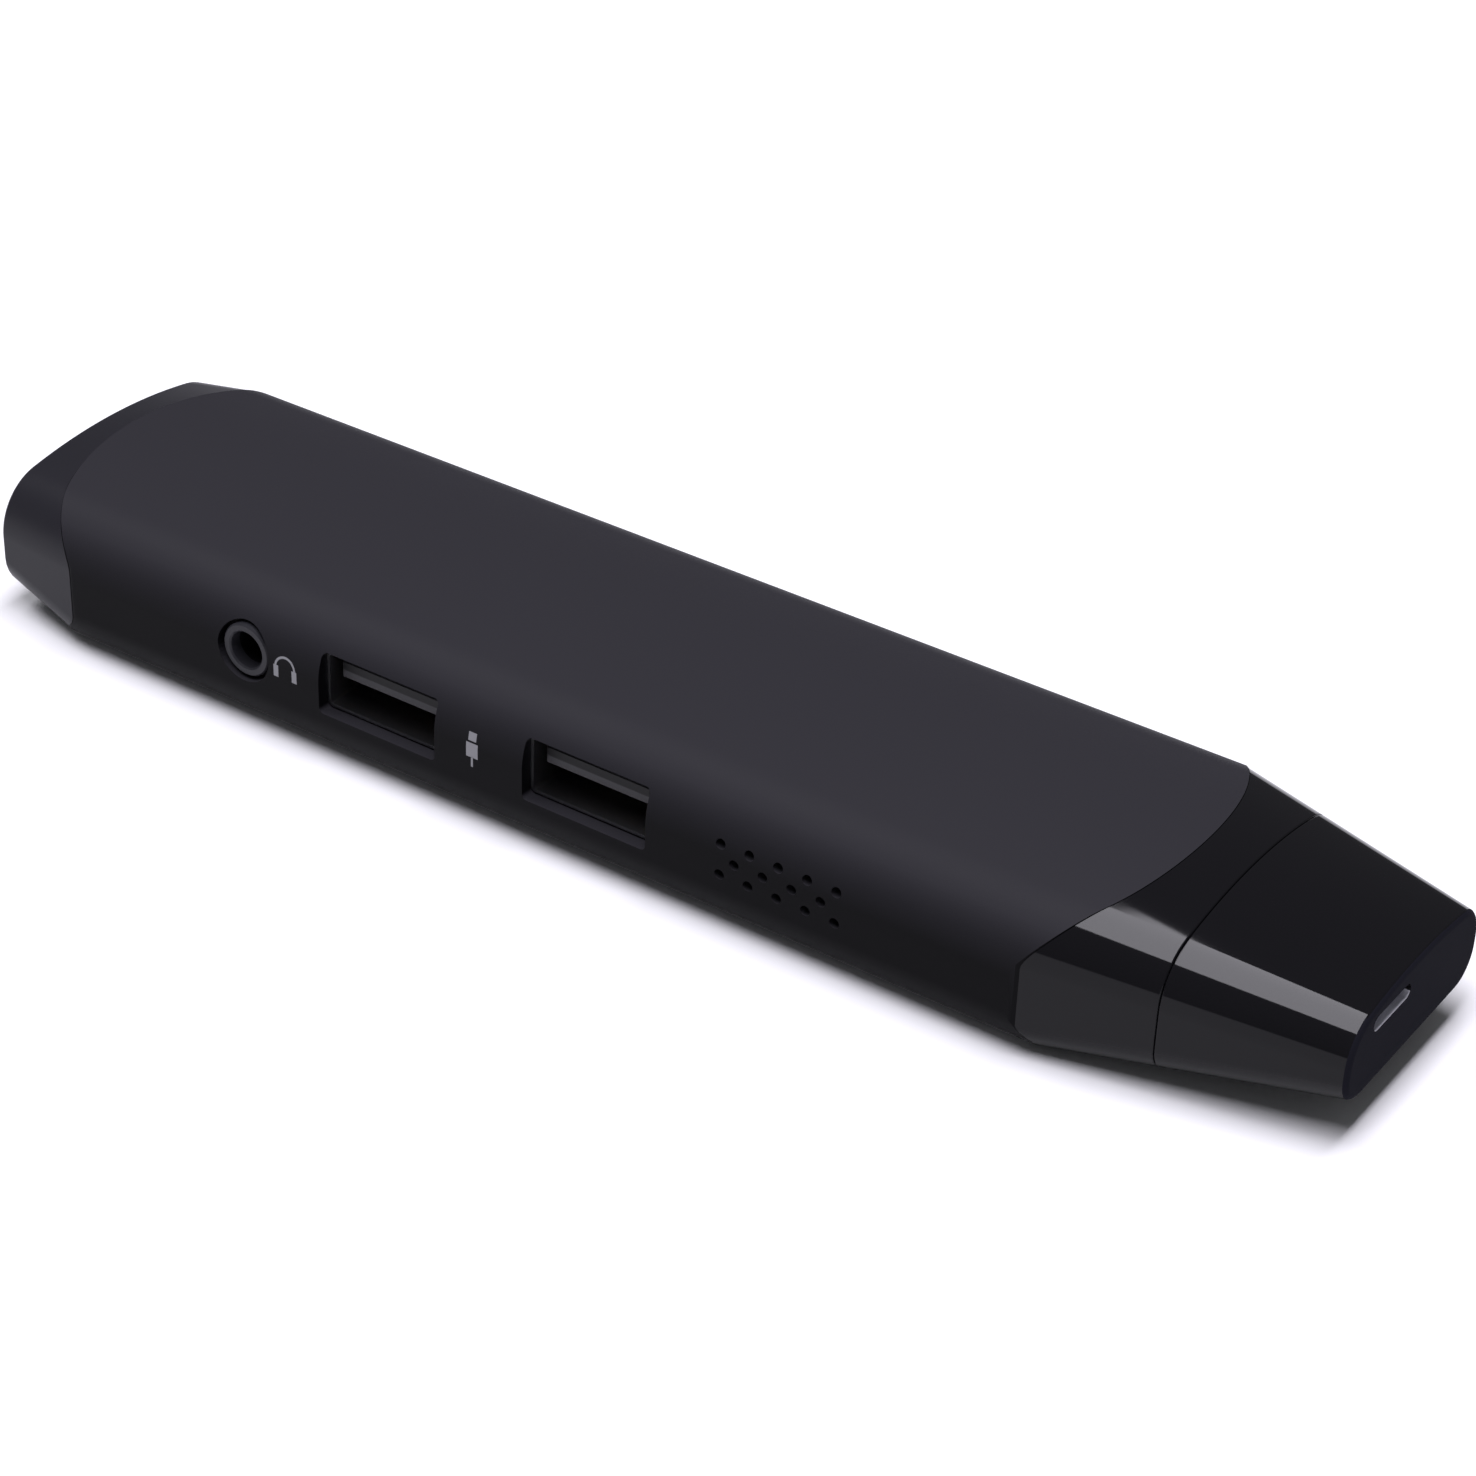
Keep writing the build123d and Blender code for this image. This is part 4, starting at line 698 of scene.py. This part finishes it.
for face in cap.data.polygons:
    x, y, z = (v / MM for v in face.center)
    in_slot = (
        NOSE_X - SLOT_DEEP - SLOT_MARGIN < x < NOSE_X
        and abs(y - SLOT_Y) < SLOT_LONG / 2
        and abs(z - SLOT_Z) < SLOT_HIGH * SLOT_HALF_SHARE
    )
    if face.normal.x > END_FACING and x > NOSE_X - END_EDGE:
        face.material_index = cap_paints.index(CAP_END)
    # The slot's floor and lower wall take the painted glint
    elif in_slot and face.normal.x + face.normal.z > SLOT_FACING:
        face.material_index = cap_paints.index(SLOT_PAINTED_GLINT)

# The satin rear end cap
rear = along_x("rear", tail_at, TAIL_X + TAIL["reach"], TAIL_X, steps=10, rounding=(0.0, END_EDGE))
join(rear, along_x("tool", sleeve_at, TAIL_X - BEYOND, 0), "INTERSECT")
join(rear, zone_top(TOUCH), "DIFFERENCE")
join(rear, cover_zone(TOUCH), "DIFFERENCE")
fit_spigot(
    rear,
    tail_at,
    [TAIL_X + depth for depth in REAR_SPIGOT],
    [TAIL_X + depth for depth in REAR_ROOM],
    (TAIL_X - BEYOND, 0),
)
finish_piece(rear, [tail_at, sleeve_at], "rear_end_cap", [SATIN])


# Printed marks on the side
def side_y(z):
    """Place of the sleeve's near wall at a height."""
    rise = max(z - (HIGH - SHOULDER_DROP), 0.0)
    return -(HALF - SHOULDER_RADIUS + math.sqrt(SHOULDER_RADIUS**2 - rise**2))


def bar(x, low, high, wide, steps=8):
    return [((x - wide / 2, z), (x + wide / 2, z)) for z in np.linspace(low, high, steps + 1)]


def half_ring(x, z, inner, outer, steps=24):
    strip = []
    for a in np.linspace(0.0, math.pi, steps + 1):
        c, d = math.cos(a), math.sin(a)
        strip.append(((x + inner * c, z + inner * d), (x + outer * c, z + outer * d)))
    return strip


def mark(name, strips):
    """Thin print made of strips, each a list of (left, right) point pairs along its run."""
    points, faces = [], []
    for strip in strips:
        base = len(points)
        for pair in strip:
            points += [(x, side_y(z) - PRINT_LIFT, z) for x, z in pair]
        for i in range(len(strip) - 1):
            a = base + 2 * i
            faces.append((a, a + 1, a + 3, a + 2))
    piece = new_object(name, mesh_from(name, points, faces))
    for face in piece.data.polygons:
        face.use_smooth = True
    piece.data.materials.append(PRINT)
    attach(piece, "casing")


mark("headphone_mark", [
    half_ring(HEADPHONE_X, HEADPHONE_Z, *HEADBAND),
    bar(HEADPHONE_X - EARCUP_APART, *EARCUP),
    bar(HEADPHONE_X + EARCUP_APART, *EARCUP),
])
mark("plug_mark", [bar(PLUG_MARK_X, *sizes) for sizes in PLUG_MARK])

# Floor, in metres, and a world that the camera sees as white and that lights the object dimly
FLOOR_REACH = 3
FLOOR_DROP = 0.0001
floor_mesh = bpy.data.meshes.new("floor")
floor_corners = [(x * FLOOR_REACH, y * FLOOR_REACH, 0) for x, y in ((-1, -1), (1, -1), (1, 1), (-1, 1))]
floor_mesh.from_pydata(floor_corners, [], [(0, 1, 2, 3)])
floor = new_object("floor", floor_mesh)
floor.location.z = -FLOOR_DROP
floor_paint = Paint("floor_white", (0.94, 0.94, 0.95), 0.9, specular=0.0)
floor.data.materials.append(floor_paint.material)

world = bpy.data.worlds.new("studio")
world.use_nodes = True
bpy.context.scene.world = world
studio = Nodes(world.node_tree)
dim = studio.tree.nodes["Background"]
dim.inputs["Color"].default_value = (0.95, 0.96, 1.0, 1)
dim.inputs["Strength"].default_value = 0.12
lit_side = Socket(studio.tree, dim.outputs["Background"])
seen_side = studio.node("ShaderNodeBackground", "Background", Color=(1, 1, 1, 1), Strength=1.0)
by_camera = studio.node("ShaderNodeLightPath", "Is Camera Ray")
sky = studio.node(
    "ShaderNodeMixShader", "Shader", numbered={1: lit_side, 2: seen_side}, Fac=by_camera,
)
studio.tree.links.new(sky.socket, studio.tree.nodes["World Output"].inputs["Surface"])


# Lights
def softbox(name, place, target, size, power, color):
    """Rectangular lamp that points at a target."""
    lamp = bpy.data.lights.new(name, "AREA")
    lamp.shape = "RECTANGLE"
    lamp.size, lamp.size_y = size
    lamp.energy = power
    lamp.color = color
    holder = bpy.data.objects.new(name, lamp)
    bpy.context.scene.collection.objects.link(holder)
    holder.location = place
    holder.rotation_euler = (Vector(target) - Vector(place)).to_track_quat("-Z", "Y").to_euler()


softbox("top_light", (0.0625, -0.075, 0.75), (0.0625, -0.075, 0), (0.22, 0.78), 7.2, (0.94, 0.92, 1.0))
softbox("key_light", (-0.45, -0.1, 0.65), (0, 0, 0), (0.35, 0.35), 2.0, (0.95, 0.94, 1.0))

# Camera: its bearing, height angle and roll in degrees, the focal length in pixels of the photograph,
# the sensor in millimetres, and the distance and the point it looks at in metres
AZ, EL, ROLL = (math.radians(v) for v in (33.471, 33.069, 2.165))
FOCAL = 3743.807
IMAGE = 1476.0
SENSOR = 36.0
DISTANCE = 0.325825
AIM = Vector((0.004025, 0.0, 0.00645))
toward = Vector((math.sin(AZ) * math.cos(EL), -math.cos(AZ) * math.cos(EL), math.sin(EL)))
right = (-toward).cross(Vector((0, 0, 1))).normalized()
upward = right.cross(-toward).normalized()
cam_x = right * math.cos(ROLL) + upward * math.sin(ROLL)
cam_y = upward * math.cos(ROLL) - right * math.sin(ROLL)
turn = Matrix((cam_x, cam_y, toward)).transposed().to_4x4()
camera_data = bpy.data.cameras.new("camera")
camera_data.sensor_width = SENSOR
camera_data.lens = FOCAL * SENSOR / IMAGE
camera_data.clip_start = 0.01
camera = bpy.data.objects.new("camera", camera_data)
bpy.context.scene.collection.objects.link(camera)
camera.matrix_world = Matrix.Translation(AIM + toward * DISTANCE) @ turn
bpy.context.scene.camera = camera
bpy.context.scene.view_settings.view_transform = "Standard"
